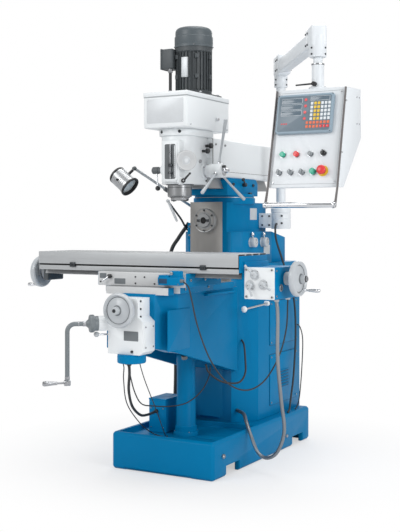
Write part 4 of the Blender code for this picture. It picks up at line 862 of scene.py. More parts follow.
def makeCapstan():
    base = Vector(capstanFacts["centre"])
    wheel = Shape()
    wheel.turned([(0, 0.1265), (0.0075, 0.128), (0.01, 0.1255), (0.012, 0.1215), (0.012, 0.104),
                  (0.03, 0.1015)], base, (1, 0, 0), steps=48, slot=1)
    wheel.turned([(0, 0.102), (0.03, 0.102), (0.0345, 0.0995), (0.036, 0.094), (0.036, 0.056),
                  (0.035, 0.0545), (0.035, 0.0515), (0.036, 0.05), (0.036, 0.029), (0.0345, 0.0262),
                  (0.03, 0.0245), (0.03, 0.0006), (0, 0.0006)], base, (1, 0, 0), steps=56, slot=0)
    wheel.turned([(0.031, 0.01), (0.0338, 0.01), (0.0345, 0.002), (0.0345, 0.0006), (0.031, 0.0006)], base,
                 (1, 0, 0), steps=48, slot=1, closed=True)
    wheel.rod(base + Vector((-0.0003, 0, 0)), base + Vector((-0.0108, 0, 0)), 0.0118, slot=1)
    for angle in capstanFacts["arms"]:
        out = Vector((0, math.cos(math.radians(angle)), math.sin(math.radians(angle))))
        start = base + Vector((0.07, 0, 0)) + out * 0.018
        end = base + Vector((0.105, 0, 0)) + out * capstanFacts["reach"]
        along = (end - start).normalized()
        reach = (end - start).length
        wheel.turned([(0, 0), (0.0105, 0.004), (0.0105, 0.022), (0.008, 0.028)], start, along, steps=28,
                     slot=1)
        wheel.turned([(0.0062, 0.02), (0.0052, 0.06), (0.006, 0.12), (0.0092, reach - 0.012),
                      (0.0088, reach - 0.003), (0.006, reach), (0, reach)], start, along, steps=28, slot=2)
    hub = base + Vector((0.1, 0, 0)) + Vector((0, -0.017, 0.019))
    wheel.turned([(0, 0.02), (0.0055, 0.02), (0.0065, 0.017), (0.0065, 0.004), (0.004, 0)], hub, (1, 0, 0),
                 steps=20, slot=3)
    wheel.piece("capstanWheel", "capstan", ["white", "chrome", "wheel", "knob"], "capstan")
    print("capstan done")


def makeHeadLevers():
    feed = Shape()
    side = -0.1003
    feed.turned([(0, 0.058), (0.012, 0.058), (0.018, 0.053), (0.018, 0.022), (0.0148, 0.02), (0.0148, 0.005),
                 (0.018, 0.003), (0.018, 0)], (side, 0, 1.478), (-1, 0, 0), steps=40)
    root = Vector((side - 0.034, 0, 1.472))
    tip = Vector((side - 0.02, -0.012, 1.388))
    feed.rod(root, tip, 0.004, 0.0032, 20, slot=1)
    feed.ball(tip, 0.0128, slot=2)
    feed.piece("powerFeedLever", "power_feed_lever", ["bay", "chrome", "knob"], "power_feed_lever")

    out = Vector(headFacts["clampOut"])
    hub = Vector((0.0797, -0.102, 1.4185))
    clamp = Shape()
    clamp.turned([(0, 0.018), (0.009, 0.018), (0.0108, 0.015), (0.0108, 0)], hub, out, steps=32)
    end = hub + out * 0.018 + Vector((0.03, 0.01, 0.034))
    clamp.rod(hub + out * 0.01, end, 0.006, 0.0042, 20)
    clamp.ball(end, 0.0058)
    clamp.screw(hub + out * 0.0175, out, 0.004, slot=1, hole=1)
    clamp.piece("quillClampLever", "quill_clamp_lever", ["knob", "chrome"], "quill_clamp_lever")
    print("head levers done")


def makeRam():
    ram = Shape()
    ram.box((-0.12, 0.1206, 1.4465), (0.12, 0.812, 1.64), 0.009, segments=3)
    tail = [(-0.0789, 0.0), (0.0789, 0.0), (0.1, -0.056), (-0.1, -0.056)]
    ram.plate([(x, 1.4465 + z) for x, z in tail], 0.6778, Matrix(((1, 0, 0, 0), (0, 0, 1, 0.1225),
                                                                  (0, 1, 0, 0), (0, 0, 0, 1))),
              0.001, slot=1)
    ram.box((-0.1205, 0.1202, 1.4755), (0.1205, 0.8122, 1.477), slot=2)
    ram.box((-0.1206, 0.124, 1.447), (0.1206, 0.1256, 1.638), slot=2)
    for y in (0.15, 0.25):
        for z in (1.495, 1.61):
            ram.screw((0.1198, y, z), (1, 0, 0), 0.006, slot=1, hole=2)
            ram.screw((-0.1198, y, z), (-1, 0, 0), 0.006, slot=1, hole=2)
    ram.turned([(0, 0.004), (0.055, 0.004), (0.06, 0.002), (0.06, 0)], (0, 0.8115, 1.545), (0, 1, 0),
               steps=48)
    ram.piece("ramBody", "ram", ["white", "crossWay", "hole"], "ram", angle=30)

    seat = Shape()
    seat.cast("ram_saddle", 0.0016)
    seat.turned([(0.12, 1.3492), (0.1606, 1.3492), (0.1606, 1.3463), (0.12, 1.3463)],
                (0, 0.47, 0), steps=72, slot=1, closed=True)
    for angle in (-130, -50, 10, 170):
        at = Vector((0.144 * math.cos(math.radians(angle)), 0.47 + 0.144 * math.sin(math.radians(angle)),
                     1.3662))
        seat.screw(at, (0, 0, 1), 0.0095, slot=2, hole=3)
    for y in (0.33, 0.56):
        seat.screw((0.1248, y, 1.415), (1, 0, 0), 0.008, slot=2, hole=3)
        seat.screw((-0.1248, y, 1.415), (-1, 0, 0), 0.008, slot=2, hole=3)
    seat.turned([(0, 0.022), (0.0085, 0.022), (0.01, 0.02), (0.01, 0)], (0.1248, 0.445, 1.415), (1, 0, 0),
                steps=28, slot=2)
    seat.rod((0.141, 0.445, 1.415), (0.16, 0.38, 1.44), 0.0048, 0.004, slot=2)
    seat.ball((0.16, 0.38, 1.44), 0.0095, slot=4)
    seat.piece("ramSaddle", "ram_saddle", ["blue", "crossWay", "darkSteel", "hole", "knob"], "ram_saddle")
    print("ram done")


# column and base

columnFacts = {"upperDoor": (0.555, 0.905, 0.56, 0.795),
               "lowerDoor": (0.555, 0.905, 0.24, 0.51), "louvres": 6}


def door(shape, y0, y1, z0, z1, louvres=0):
    x = 0.2266
    shape.plate(roundedBox(y1 - y0 + 0.005, z1 - z0 + 0.005, 0.009), 0.001,
                onSide(x, (y0 + y1) / 2, (z0 + z1) / 2), 0, slot=2)
    shape.plate(roundedBox(y1 - y0, z1 - z0, 0.007), 0.0042, onSide(x, (y0 + y1) / 2, (z0 + z1) / 2), 0.0012,
                slot=1)
    for y in (y0 + 0.014, y1 - 0.014):
        for z in (z0 + 0.014, z1 - 0.014):
            shape.screw((x + 0.004, y, z), (1, 0, 0), 0.0045, slot=3, hole=2)
    for n in range(louvres):
        z = z0 + 0.085 + n * 0.0165
        middle = (y0 + y1) / 2
        # each louvre: a dark blue strip, painted shade in its opening, under a raised bar
        shape.plate(roundedBox(0.12, 0.0085, 0.004), 0.0006, onSide(x + 0.004, middle, z), 0, slot=2)
        shape.box((x + 0.003, middle - 0.06, z + 0.001), (x + 0.0095, middle + 0.06, z + 0.007), 0.0024,
                  slot=1)


def columnSlots(centre, normal):
    # the knee's way on the front has a finish of its own
    return 4 if centre.y < 0.3065 and centre.z > 0.19 and abs(centre.x) < 0.0965 else 0


def makeColumn():
    column = Shape()
    column.cast("column", 0.0022, 2, columnSlots)
    y0, y1, z0, z1 = columnFacts["upperDoor"]
    door(column, y0, y1, z0, z1)
    y0, y1, z0, z1 = columnFacts["lowerDoor"]
    door(column, y0, y1, z0, z1, columnFacts["louvres"])
    # bare plate and mark places on the column's side
    column.plate(roundedBox(0.08, 0.062, 0.003), 0.0012, onSide(0.1348, 0.548, 1.262), 0.0003, slot=5)
    column.plate(roundedBox(0.075, 0.05, 0.003), 0.0012, onSide(0.1698, 0.64, 1.07), 0.0003, slot=5)
    # flange round the horizontal spindle
    column.turned([(0.0366, 0.01), (0.0366, -0.0012), (0.044, -0.0012), (0.045, 0.0006), (0.056, 0.0006),
                   (0.057, -0.0006), (0.0612, -0.0006), (0.0622, 0.001), (0.0622, 0.02)],
                  (0, 0.248, 1.227), (0, 1, 0), steps=64, slot=7)
    # a bolted plate low on the front, under the knee's travel
    column.box((-0.062, 0.3, 0.2), (0.062, 0.3085, 0.35), 0.003, slot=1)
    for x in (-0.04, 0.04):
        for z in (0.225, 0.325):
            column.screw((x, 0.3087, z), (0, -1, 0), 0.0055, slot=6, hole=2)
    for n in range(6):
        angle = math.radians(30 + 60 * n)
        at = (0.0525 * math.cos(angle), 0.2482, 1.227 + 0.0525 * math.sin(angle))
        column.screw(at, (0, -1, 0), 0.005, slot=6, hole=6)
    # plugs on the right side, and a block beside the way
    for y, z, radius in ((0.62, 0.93, 0.012), (0.7, 0.93, 0.0075), (0.86, 0.86, 0.009)):
        column.turned([(0, 0.006), (radius * 0.7, 0.006), (radius, 0.004), (radius, 0)], (0.2268, y, z),
                      (1, 0, 0), steps=28, slot=3)
    column.box((-0.122, 0.286, 1.13), (-0.0955, 0.307, 1.215), 0.003)
    column.screw((-0.109, 0.2862, 1.15), (0, -1, 0), 0.005, slot=3, hole=2)
    column.screw((-0.109, 0.2862, 1.195), (0, -1, 0), 0.005, slot=3, hole=2)
    for z in (0.3, 0.62):
        column.screw((-0.2266, 0.6, z), (-1, 0, 0), 0.008, slot=3, hole=2)
    column.piece("columnCasting", "frame",
                 ["blue", "blueSmooth", "blueShade", "steel", "way", "plate", "darkSteel", "iron"], "column")
    print("column done")


def makeCabinet():
    cabinet = Shape()
    cabinet.cast("rear_cabinet", 0.002)
    cabinet.plate(roundedBox(0.3, 0.1, 0.006), 0.0022,
                  Matrix(((-1, 0, 0, 0), (0, 0, 1, 0.8768), (0, 1, 0, 1.066), (0, 0, 0, 1))), 0.0006, slot=0)
    for x in (-0.138, 0.138):
        for z in (1.024, 1.108):
            cabinet.screw((x, 0.8788, z), (0, 1, 0), 0.004, slot=1, hole=2)
    cabinet.piece("rearCabinet", "frame", ["blueSmooth", "steel", "hole"], "rear_cabinet")
    print("cabinet done")


def makeArbor():
    arbor = Shape()
    arbor.turned([(0, 0.3), (0.02, 0.3), (0.02, 0.16), (0.036, 0.155), (0.036, 0.0015), (0.0345, 0),
                  (0.018, 0), (0.017, 0.001), (0.01, 0.075), (0, 0.075)], (0, 0.236, 1.227), (0, 1, 0),
                 steps=56)
    for side in (-1, 1):
        low, high = sorted((side * 0.0195, side * 0.035))
        arbor.box((low, 0.231, 1.22), (high, 0.2385, 1.234), 0.0008, slot=1)
    # a black disc inside the bore's mouth, painted shade
    arbor.turned([(0, 0.004), (0.0169, 0.004)], (0, 0.236, 1.227), (0, 1, 0), steps=32, slot=2)
    arbor.piece("horizontalSpindle", "arbor", ["iron", "darkSteel", "hole"], "horizontal_spindle")
    print("horizontal spindle done")


baseFacts = {"trayFloor": 0.1533, "screwY": 0.062, "threadFoot": 0.5, "threadPitch": 0.0025,
             "threadTurns": 126}


def makeBase():
    base = Shape()
    base.cast("base", 0.0045, 3)
    base.turned([(0, 0.0115), (0.01, 0.0115), (0.012, 0.009), (0.012, 0)], (0.2868, -0.085, 0.105), (1, 0, 0),
                steps=6, slot=1)
    base.turned([(0, 0.0075), (0.008, 0.0075), (0.0095, 0.006), (0.0095, 0)], (0.2868, 0.64, 0.07), (1, 0, 0),
                steps=6, slot=1)
    base.plate(roundedBox(0.15, 0.09, 0.01), 0.0022, Matrix.Translation((0.15, 0.06, 0.153)), 0.0006)
    base.piece("baseCasting", "frame", ["blue", "steel"], "base")
    print("base done")


def makeElevation():
    # the tube that stands in the tray, and the screw in it
    stand = Shape()
    floor, depth = baseFacts["trayFloor"], baseFacts["screwY"]
    stand.turned([(0.0203, 0.56), (0.044, 0.56), (0.0485, 0.556), (0.0485, 0.518), (0.0465, 0.515),
                  (0.0465, 0.33), (0.0485, 0.326), (0.0485, floor + 0.052), (0.05, floor + 0.047),
                  (0.055, floor + 0.045), (0.055, floor + 0.023), (0.061, floor + 0.021),
                  (0.062, floor + 0.018),
                  (0.062, floor), (0.0203, floor)], (0, depth, 0), steps=64, closed=True)
    for n in range(4):
        angle = math.radians(45 + 90 * n)
        stand.screw((0.058 * math.cos(angle), depth + 0.058 * math.sin(angle), floor + 0.02), (0, 0, 1),
                    0.0036, slot=1, hole=2)
    stand.piece("screwPedestal", "frame", ["blue", "steel", "hole"], "screw_pedestal")

    screw = Shape()
    thread = [(0.0195 if n % 2 else 0.0168, baseFacts["threadFoot"] + n * baseFacts["threadPitch"])
              for n in range(baseFacts["threadTurns"])]
    screw.turned([(0, 0.3), (0.0195, 0.3)] + thread + [(0.0195, 0.816), (0.04, 0.82), (0.04, 0.832),
                                                         (0.03, 0.8497), (0, 0.8497)],
                 (0, depth, 0), steps=40)
    screw.piece("elevatingScrew", "elevating_screw", ["darkSteel"], "elevating_screw")
    print("elevating screw done")


def makeSumpBox():
    box = Shape()
    box.box((-0.2, 0.03, baseFacts["trayFloor"]), (-0.1, 0.2, 0.318), 0.004, segments=3)
    box.box((-0.201, 0.029, 0.3165), (-0.099, 0.201, 0.325), 0.002)
    box.plate(roundedBox(0.085, 0.11, 0.004), 0.0016, onFront(-0.15, 0.0302, 0.228), 0.0005)
    for x in (-0.186, -0.114):
        for z in (0.18, 0.276):
            box.screw((x, 0.029, z), (0, -1, 0), 0.0032, slot=1, hole=2)
    box.turned([(0, 0.014), (0.01, 0.014), (0.011, 0.012), (0.011, 0)], (-0.152, 0.0302, 0.262), (0, -1, 0),
               steps=6, slot=3)
    box.piece("sumpBox", "frame", ["blueSmooth", "steel", "hole", "black"], "sump_box")
    print("sump box done")


# levers on the column, the lamp and the pendant's bracket


def makeColumnLevers():
    for name, body, y in (("speedLeverFront", "speed_lever_front", 0.445),
                          ("speedLeverRear", "speed_lever_rear", 0.58)):
        x = 0.1703
        knob = Shape()
        knob.turned([(0, 0.0325), (0.01, 0.0325), (0.0125, 0.0335), (0.02, 0.0338), (0.0245, 0.032),
                     (0.0258, 0.028), (0.0258, 0.015), (0.024, 0.0125), (0.024, 0.005), (0.0258, 0.003),
                     (0.0258, 0)], (x, y, 1.112), (1, 0, 0), steps=48)
        knob.rod((x + 0.014, y, 1.13), (x + 0.014, y - 0.006, 1.15), 0.005, 0.0042, 20, slot=1)
        knob.ball((x + 0.014, y - 0.007, 1.156), 0.0108, slot=1)
        knob.screw((x + 0.0323, y, 1.112), (1, 0, 0), 0.006, slot=1, hole=2)
        knob.box((x + 0.0325, y - 0.0015, 1.122), (x + 0.0341, y + 0.0015, 1.132), 0.0003, slot=2)
        knob.piece(name, body, ["wheel", "chrome", "black"], body)

    lever = Shape()
    hub = Vector((0.2273, 0.5, 0.79))
    elbow = hub + Vector((0.024, 0, 0))
    tip = Vector((0.262, 0.19, 0.782))
    lever.turned([(0, 0.024), (0.009, 0.024), (0.0115, 0.0215), (0.013, 0.018), (0.013, 0)], hub, (1, 0, 0),
                 steps=36)
    lever.rod(elbow - Vector((0.008, 0, 0)), tip, 0.0062, 0.0052, 20, slot=1)
    lever.ball(tip, 0.0158)
    lever.piece("columnLever", "column_lever", ["white", "chrome"], "column_lever")
    print("column levers done")


post = {"centre": (0.25, 0.65), "boltOut": (0.49, -0.87)}


def makeArmBracket():
    x0, y0 = post["centre"]
    outX, outY = post["boltOut"]
    bracket = Shape()
    bracket.box((0.1353, 0.61, 1.187), (0.23, 0.69, 1.267), 0.004, segments=3)
    bracket.turned([(0.0253, 1.299), (0.034, 1.299), (0.038, 1.295), (0.05, 1.2935), (0.0535, 1.29),
                    (0.0535, 1.273), (0.0515, 1.271), (0.0515, 1.266), (0.0535, 1.264), (0.0535, 1.238),
                    (0.0515, 1.236), (0.0515, 1.231), (0.0535, 1.229), (0.0535, 1.188), (0.05, 1.1822),
                    (0, 1.1822), (0, 1.2497), (0.0253, 1.2497)], (x0, y0, 0), steps=64)
    for x, z in ((0.158, 1.203), (0.158, 1.251), (0.2, 1.203), (0.2, 1.251)):
        bracket.screw((x, 0.6102, z), (0, -1, 0), 0.005, slot=1, hole=2)
    for z in (1.213, 1.252):
        bracket.screw((x0 + 0.0525 * outX, y0 + 0.0525 * outY, z), (outX, outY, 0), 0.0056, slot=1, hole=2)
    bracket.piece("armBracket", "frame", ["panelWhite", "darkSteel", "hole"], "arm_bracket")
    print("arm bracket done")


lampFacts = {"base": (-0.1353, 0.45, 1.285), "knuckle": (-0.3, 0.05, 1.495), "centre": (-0.36, 0.03, 1.436),
             "look": (0.785, 0.0, -0.62), "ribs": 7, "ribPitch": 0.0102}


def makeLamp():
    arm = Shape()
    base = Vector(lampFacts["base"])
    knuckle = Vector(lampFacts["knuckle"])
    arm.turned([(0, 0.028), (0.012, 0.028), (0.0165, 0.0245), (0.018, 0.02), (0.018, 0.006), (0.016, 0.0045),
                (0.016, 0)], base, (-1, 0, 0), steps=40)
    start = base + Vector((-0.024, 0, 0))
    arm.rod(start, knuckle, 0.0074, steps=24, slot=1)
    arm.turned([(0.0078, -0.016), (0.0112, -0.014), (0.0124, -0.004), (0.0124, 0.004), (0.0112, 0.014),
                (0.0078, 0.016)], start.lerp(knuckle, 0.5), (knuckle - start).normalized(), steps=28)
    arm.ball(knuckle, 0.0112)
    arm.rod(knuckle + Vector((0, -0.015, 0)), knuckle + Vector((0, 0.011, 0)), 0.0072, bevel=0.001)
    arm.piece("lampArm", "lamp_arm", ["bay", "wheel"], "lamp_arm")

    look = Vector(lampFacts["look"]).normalized()
    centre = Vector(lampFacts["centre"])
    back = centre - look * 0.055
    shade = Shape()
    shade.turned([(0, 0), (0.037, 0.0), (0.044, 0.0035), (0.048, 0.009), (0.048, 0.0165)], back, look,
                 steps=56, slot=1)
    drum = []
    for n in range(lampFacts["ribs"]):
        rise = 0.018 + n * lampFacts["ribPitch"]
        drum += [(0.0466, rise), (0.0466, rise + 0.003), (0.048, rise + 0.0042), (0.048, rise + 0.0088)]
    shade.turned([(0.04, 0.0165)] + drum + [(0.048, 0.089)], back, look, steps=56, slot=0)
    shade.turned([(0.048, 0.0885), (0.05, 0.0905), (0.051, 0.094), (0.051, 0.106)], back, look,
                 steps=56, slot=0)
    shade.turned([(0.051, 0.106), (0.0545, 0.1075), (0.055, 0.109), (0.055, 0.116), (0.0535, 0.118),
                  (0.0475, 0.118), (0.0455, 0.108), (0.042, 0.09), (0.039, 0.061), (0, 0.06)], back, look,
                 steps=56, slot=1)
    shade.turned([(0, 0.106), (0.03, 0.105), (0.044, 0.102)], back, look, steps=48, slot=2)
    lug = knuckle + (centre - knuckle).normalized() * 0.0118
    shade.rod(lug, centre + (knuckle - centre) * 0.5, 0.0072, steps=20, slot=1)
    for sign in (-1, 1):
        middle = centre + Vector((0, 0.0478 * sign, 0))
        shade.turned([(0, 0.0058), (0.005, 0.0058), (0.0062, 0.0046), (0.0062, 0)], middle, (0, sign, 0),
                     steps=24, slot=1)
    shade.piece("lampShade", "lamp_shade", ["lampShell", "black", "glass"], "lamp_shade")
    print("lamp done")


# knee, gearbox, crank and wheels


def kneeSlots(centre, normal):
    # ground ways on the top and at the column, the saddle's paint on the front edge of the top
    if centre.z > 0.88 and normal.z > 0.5:
        return 1
    if centre.z > 0.88 and normal.y < -0.5:
        return 3
    if abs(centre.x) < 0.0975 and centre.y > 0.262:
        return 1
    return 0


def makeKnee():
    knee = Shape()
    knee.cast("knee", 0.0028, 3, kneeSlots)
    # a plate and a ledge on each side, and a plug underneath
    side = 0.165
    for sign in (1, -1):
        knee.plate(roundedBox(0.2, 0.19, 0.006, 6), 0.005, onSide(side - 0.0006, -0.29, 0.72, sign), 0.003)
    for sign in (1, -1):
        low, high = sorted((sign * 0.16, sign * 0.184))
        knee.box((low, -0.045, 0.86), (high, 0.262, 0.872), 0.003)
    knee.turned([(0, 0.018), (0.012, 0.018), (0.015, 0.015), (0.015, 0)], (0.085, -0.1, 0.572),
                (0, 0.28, -0.96), steps=32, slot=2)
    knee.piece("kneeCasting", "knee", ["blue", "crossWay", "greyPart", "saddle"], "knee")
    print("knee done")


crankFacts = {"at": (-0.06, -0.47, 0.755), "reach": 0.226, "drop": 0.266, "bend": 0.035, "tube": 0.0105,
              "knurls": 36}
crankOut = Vector((-math.sqrt(0.5), -math.sqrt(0.5), 0))  # the crank stands at 45 degrees to the front


def makeGearbox():
    box = Shape()
    box.cast("gearbox", 0.0045, 3)
    front = -0.5
    box.plate(roundedBox(0.078, 0.044, 0.003), 0.001, onFront(0.04, front + 0.0002, 0.702), 0.0003, slot=1)
    box.screw((0.046, front - 0.0002, 0.632), (0, -1, 0), 0.0062, slot=4, hole=3)
    box.turned([(0.0115, 0.0075), (0.027, 0.0075), (0.029, 0.0055), (0.029, 0)], (0, front + 0.0004, 0.82),
               (0, -1, 0), steps=48)
    boxSide = 0.104
    box.plate(roundedBox(0.078, 0.108, 0.007), 0.0022, onSide(boxSide - 0.0004, -0.45, 0.698), 0.0008)
    for y in (-0.482, -0.418):
        for z in (0.652, 0.744):
            box.screw((boxSide + 0.0016, y, z), (1, 0, 0), 0.004, slot=2, hole=3)
    for z in (0.79, 0.825, 0.86):
        box.screw((0.0758, -0.478, z), (1, 0, 0), 0.0048, slot=4, hole=3)
    for z in (0.645, 0.858):
        box.screw((-0.0858, -0.475, z), (-1, 0, 0), 0.0045, slot=2, hole=3)
    box.turned([(0.0125, 0.0853), (0.03, 0.0853), (0.033, 0.0835), (0.0343, 0.08), (0.0343, 0.048)],
               crankFacts["at"], crankOut, steps=48)
    box.piece("gearboxHousing", "knee", ["white", "greyPart", "steel", "hole", "darkSteel"], "gearbox")
    print("gearbox done")


def makeGearboxFittings():
    cap = Shape()
    cap.turned([(0, 0.575), (0.06, 0.575), (0.0645, 0.577), (0.066, 0.5815), (0.066, 0.608), (0.0645, 0.61),
                (0.0645, 0.613), (0.066, 0.615), (0.066, 0.6167), (0, 0.6167)], (0.012, -0.452, 0), steps=56)
    cap.turned([(0.0065, 0.0), (0.011, 0.0), (0.012, 0.003), (0.012, 0.01), (0.0095, 0.014), (0.0065, 0.014)],
               (0, -0.455, 0.5752), (0, 0, -1), steps=24, slot=1, closed=True)
    for n in range(3):
        angle = math.radians(-90 + 120 * n)
        cap.screw((0.012 + 0.048 * math.cos(angle), -0.452 + 0.048 * math.sin(angle), 0.5755), (0, 0, -1),
                  0.004, slot=2, hole=1)
    cap.piece("feedMotorCap", "knee", ["blueSmooth", "black", "steel"], "feed_motor")

    lever = Shape()
    hub = Vector((-0.0863, -0.455, 0.7))
    tip = Vector((-0.142, -0.512, 0.702))
    lever.turned([(0, 0.0137), (0.008, 0.0137), (0.01, 0.0115), (0.01, 0)], hub, (-1, 0, 0), steps=32)
    lever.rod(Vector((-0.097, -0.455, 0.7)), tip, 0.0046, 0.004, 20, slot=1)
    lever.ball(tip, 0.0128, slot=2)
    lever.piece("gearboxLever", "gearbox_lever", ["darkSteel", "chrome", "wheel"], "gearbox_lever")
    print("feed motor cap and gearbox lever done")


def wheelRim(radius, inner):
    return [(inner, 0.046), (0.0165, 0.046), (0.018, 0.0445), (0.019, 0.026), (0.023, 0.0215),
            (radius - 0.03, 0.0135), (radius - 0.02, 0.0115), (radius - 0.015, 0.015),
            (radius - 0.012, 0.0205),
            (radius - 0.009, 0.0222), (radius - 0.004, 0.0205), (radius - 0.0008, 0.015), (radius, 0.009),
            (radius, 0.002), (radius - 0.002, -0.004), (radius - 0.007, -0.0078), (radius - 0.012, -0.006),
            (radius - 0.018, -0.002), (0.024, 0.01)]


def graduate(shape, base, axis, count, inside, outside, foot, short, tall):
    # lines round a collar, every fifth one a tall one
    for n in range(count):
        turn = Matrix.Translation(base) @ facing(axis) @ Matrix.Rotation(math.tau * n / count, 4, "Z")
        shape.box((inside, -0.0003, foot), (outside, 0.0003, short if n % 5 else tall), slot=2, place=turn)


def shadeWheel(shape, base, axis):
    # painted shade: grey rings in the creases round the hub and inside the rim
    shape.turned([(0.0186, 0.027), (0.0204, 0.0266), (0.024, 0.0218)], base, axis, steps=48, slot=4)
    shape.turned([(0.059, 0.0124), (0.0606, 0.013), (0.0622, 0.0138)], base, axis, steps=64, slot=4)


wheelFacts = {"radius": 0.08, "crossBase": (0, -0.5323, 0.82), "crossMarks": 30, "tableMarks": 40,
              "handleReach": 0.069, "screwLine": (-0.185, 0.965)}


def makeCrossWheel():
    base, axis = wheelFacts["crossBase"], (0, -1, 0)
    cross = Shape()
    cross.turned(wheelRim(wheelFacts["radius"], 0.0)
                 + [(0.027, -0.002), (0.027, -0.02), (0.031, -0.022), (0.031, -0.032), (0, -0.032)],
                 base, axis, steps=72)
    cross.rod((0, -0.5, 0.82), (0, -0.0023, 0.82), 0.0104, slot=1)
    cross.turned([(0.0271, -0.003), (0.029, -0.003), (0.029, -0.019), (0.0271, -0.019)], base, axis,
                 steps=56, slot=1, closed=True)
    graduate(cross, base, axis, wheelFacts["crossMarks"], 0.0287, 0.0292, -0.018, -0.012, -0.008)
    cross.turned([(0, 0.05), (0.007, 0.05), (0.0092, 0.048), (0.0092, 0.045)], base, axis, steps=6, slot=3)
    shadeWheel(cross, base, axis)
    cross.piece("crossHandwheel", "cross_handwheel", ["wheel", "steel", "black", "darkSteel", "greyPart"],
                "cross_handwheel")
    print("cross handwheel done")


def makeTableWheels():
    for name, node, face, side, angle in (("leftHandwheel", "left_handwheel", -0.6553, -1, -90),
                                          ("rightHandwheel", "right_handwheel", 0.6603, 1, -50)):
        base = Vector((face + side * 0.0543, *wheelFacts["screwLine"]))
        along = Vector((side, 0, 0))
        wheel = Shape()
        wheel.turned(wheelRim(wheelFacts["radius"], 0.0108)
                     + [(0.03, -0.002), (0.036, -0.006), (0.038, -0.01), (0.038, -0.026),
                        (0.03, -0.03), (0.03, -0.054), (0.0108, -0.054)], base, along, steps=72, closed=True)
        wheel.turned([(0.0381, -0.0105), (0.039, -0.0115), (0.039, -0.0245), (0.0381, -0.0255)], base, along,
                     steps=64, slot=1, closed=True)
        graduate(wheel, base, along, wheelFacts["tableMarks"], 0.0388, 0.0392, -0.024, -0.0185, -0.0145)
        wheel.turned([(0.0108, 0.0455), (0.0108, 0.049), (0.015, 0.049), (0.0165, 0.046)], base, along,
                     steps=6, slot=2)
        shadeWheel(wheel, base, along)
        swung = math.radians(angle)
        out = Vector((0, math.cos(swung), math.sin(swung))) * wheelFacts["handleReach"]
        root = base + out + along * 0.012
        wheel.turned([(0.0075, 0.002), (0.0075, 0.012), (0.005, 0.014), (0.0045, 0.03)], root, along,
                     steps=24, slot=3)
        wheel.turned([(0.004, 0.0285), (0.0062, 0.0285), (0.0068, 0.031), (0.0066, 0.036), (0.0078, 0.05),
                      (0.0093, 0.064), (0.0095, 0.072), (0.0085, 0.0795), (0.0055, 0.082), (0, 0.0823)], root,
                     along, steps=28, slot=3)
        wheel.piece(name, "table_screw", ["wheel", "steel", "black", "chrome", "greyPart"], node)
    print("table handwheels done")


def makeCrank():
    out = crankOut
    at = Vector(crankFacts["at"])
    bend = crankFacts["bend"]
    elbow = at + out * crankFacts["reach"]
    low = elbow - Vector((0, 0, crankFacts["drop"]))
    start = at + out * 0.012
    crank = Shape()
    crank.turned([(0, 0.1285), (0.011, 0.128), (0.0135, 0.126), (0.019, 0.119), (0.022, 0.116),
                  (0.0385, 0.1125), (0.04, 0.1105), (0.04, 0.0935), (0.0385, 0.0915), (0.035, 0.0905),
                  (0.034, 0.0885), (0.034, 0.0735), (0.012, 0.0733), (0.012, 0), (0, 0)], start, out,
                 steps=56)
    for n in range(crankFacts["knurls"]):
        turn = Matrix.Translation(start) @ facing(out) @ \
            Matrix.Rotation(math.tau * n / crankFacts["knurls"], 4, "Z")
        crank.box((0.0395, -0.001, 0.096), (0.0408, 0.001, 0.108), place=turn)
    crank.turned([(0.009, -0.014), (0.0125, -0.014), (0.014, -0.012), (0.014, 0.012), (0.0125, 0.014),
                  (0, 0.0145)], low, out, steps=36, slot=1)
    for along, radius, depth in ((0.14, 0.0122, 0.016), (0.172, 0.0112, 0.006)):
        here = at + out * along
        crank.turned([(0.0088, 0), (radius, 0.001), (radius, depth - 0.001), (0.0088, depth)], here, out,
                     steps=36, slot=1)
    collar = elbow - Vector((0, 0, crankFacts["drop"] - 0.03))
    crank.turned([(0.0088, 0), (0.0114, 0.001), (0.0114, 0.013), (0.0088, 0.014)], collar, (0, 0, -1),
                 steps=36, slot=1)
    crank.turned([(0.005, 0.012), (0.005, 0.046), (0.0078, 0.046), (0.0082, 0.049), (0.008, 0.056),
                  (0.0095, 0.075), (0.0115, 0.093), (0.0118, 0.102), (0.0105, 0.109), (0.007, 0.1118),
                  (0, 0.112)],
                 low, out, steps=32, slot=1)
    route = [at + out * 0.132]
    for step in range(13):
        angle = math.radians(7.5 * step)
        route.append(elbow - out * bend * (1 - math.sin(angle)) - Vector((0, 0,
                                                                          bend * (1 - math.cos(angle)))))
    route.append(low)
    pipe = tube("crankTube", route, crankFacts["tube"], "crank", 6)
    crank.mesh.from_mesh(pipe.data)
    bpy.data.objects.remove(pipe, do_unlink=True)
    crank.piece("kneeCrank", "knee_crank", ["crank", "steel"], "knee_crank")
    print("crank done")


# saddle and table

saddleFront = -0.355


def saddleSlots(centre, normal):
    # the ends are blue
    return 6 if abs(normal.x) > 0.5 and abs(centre.x) > 0.15 else 0


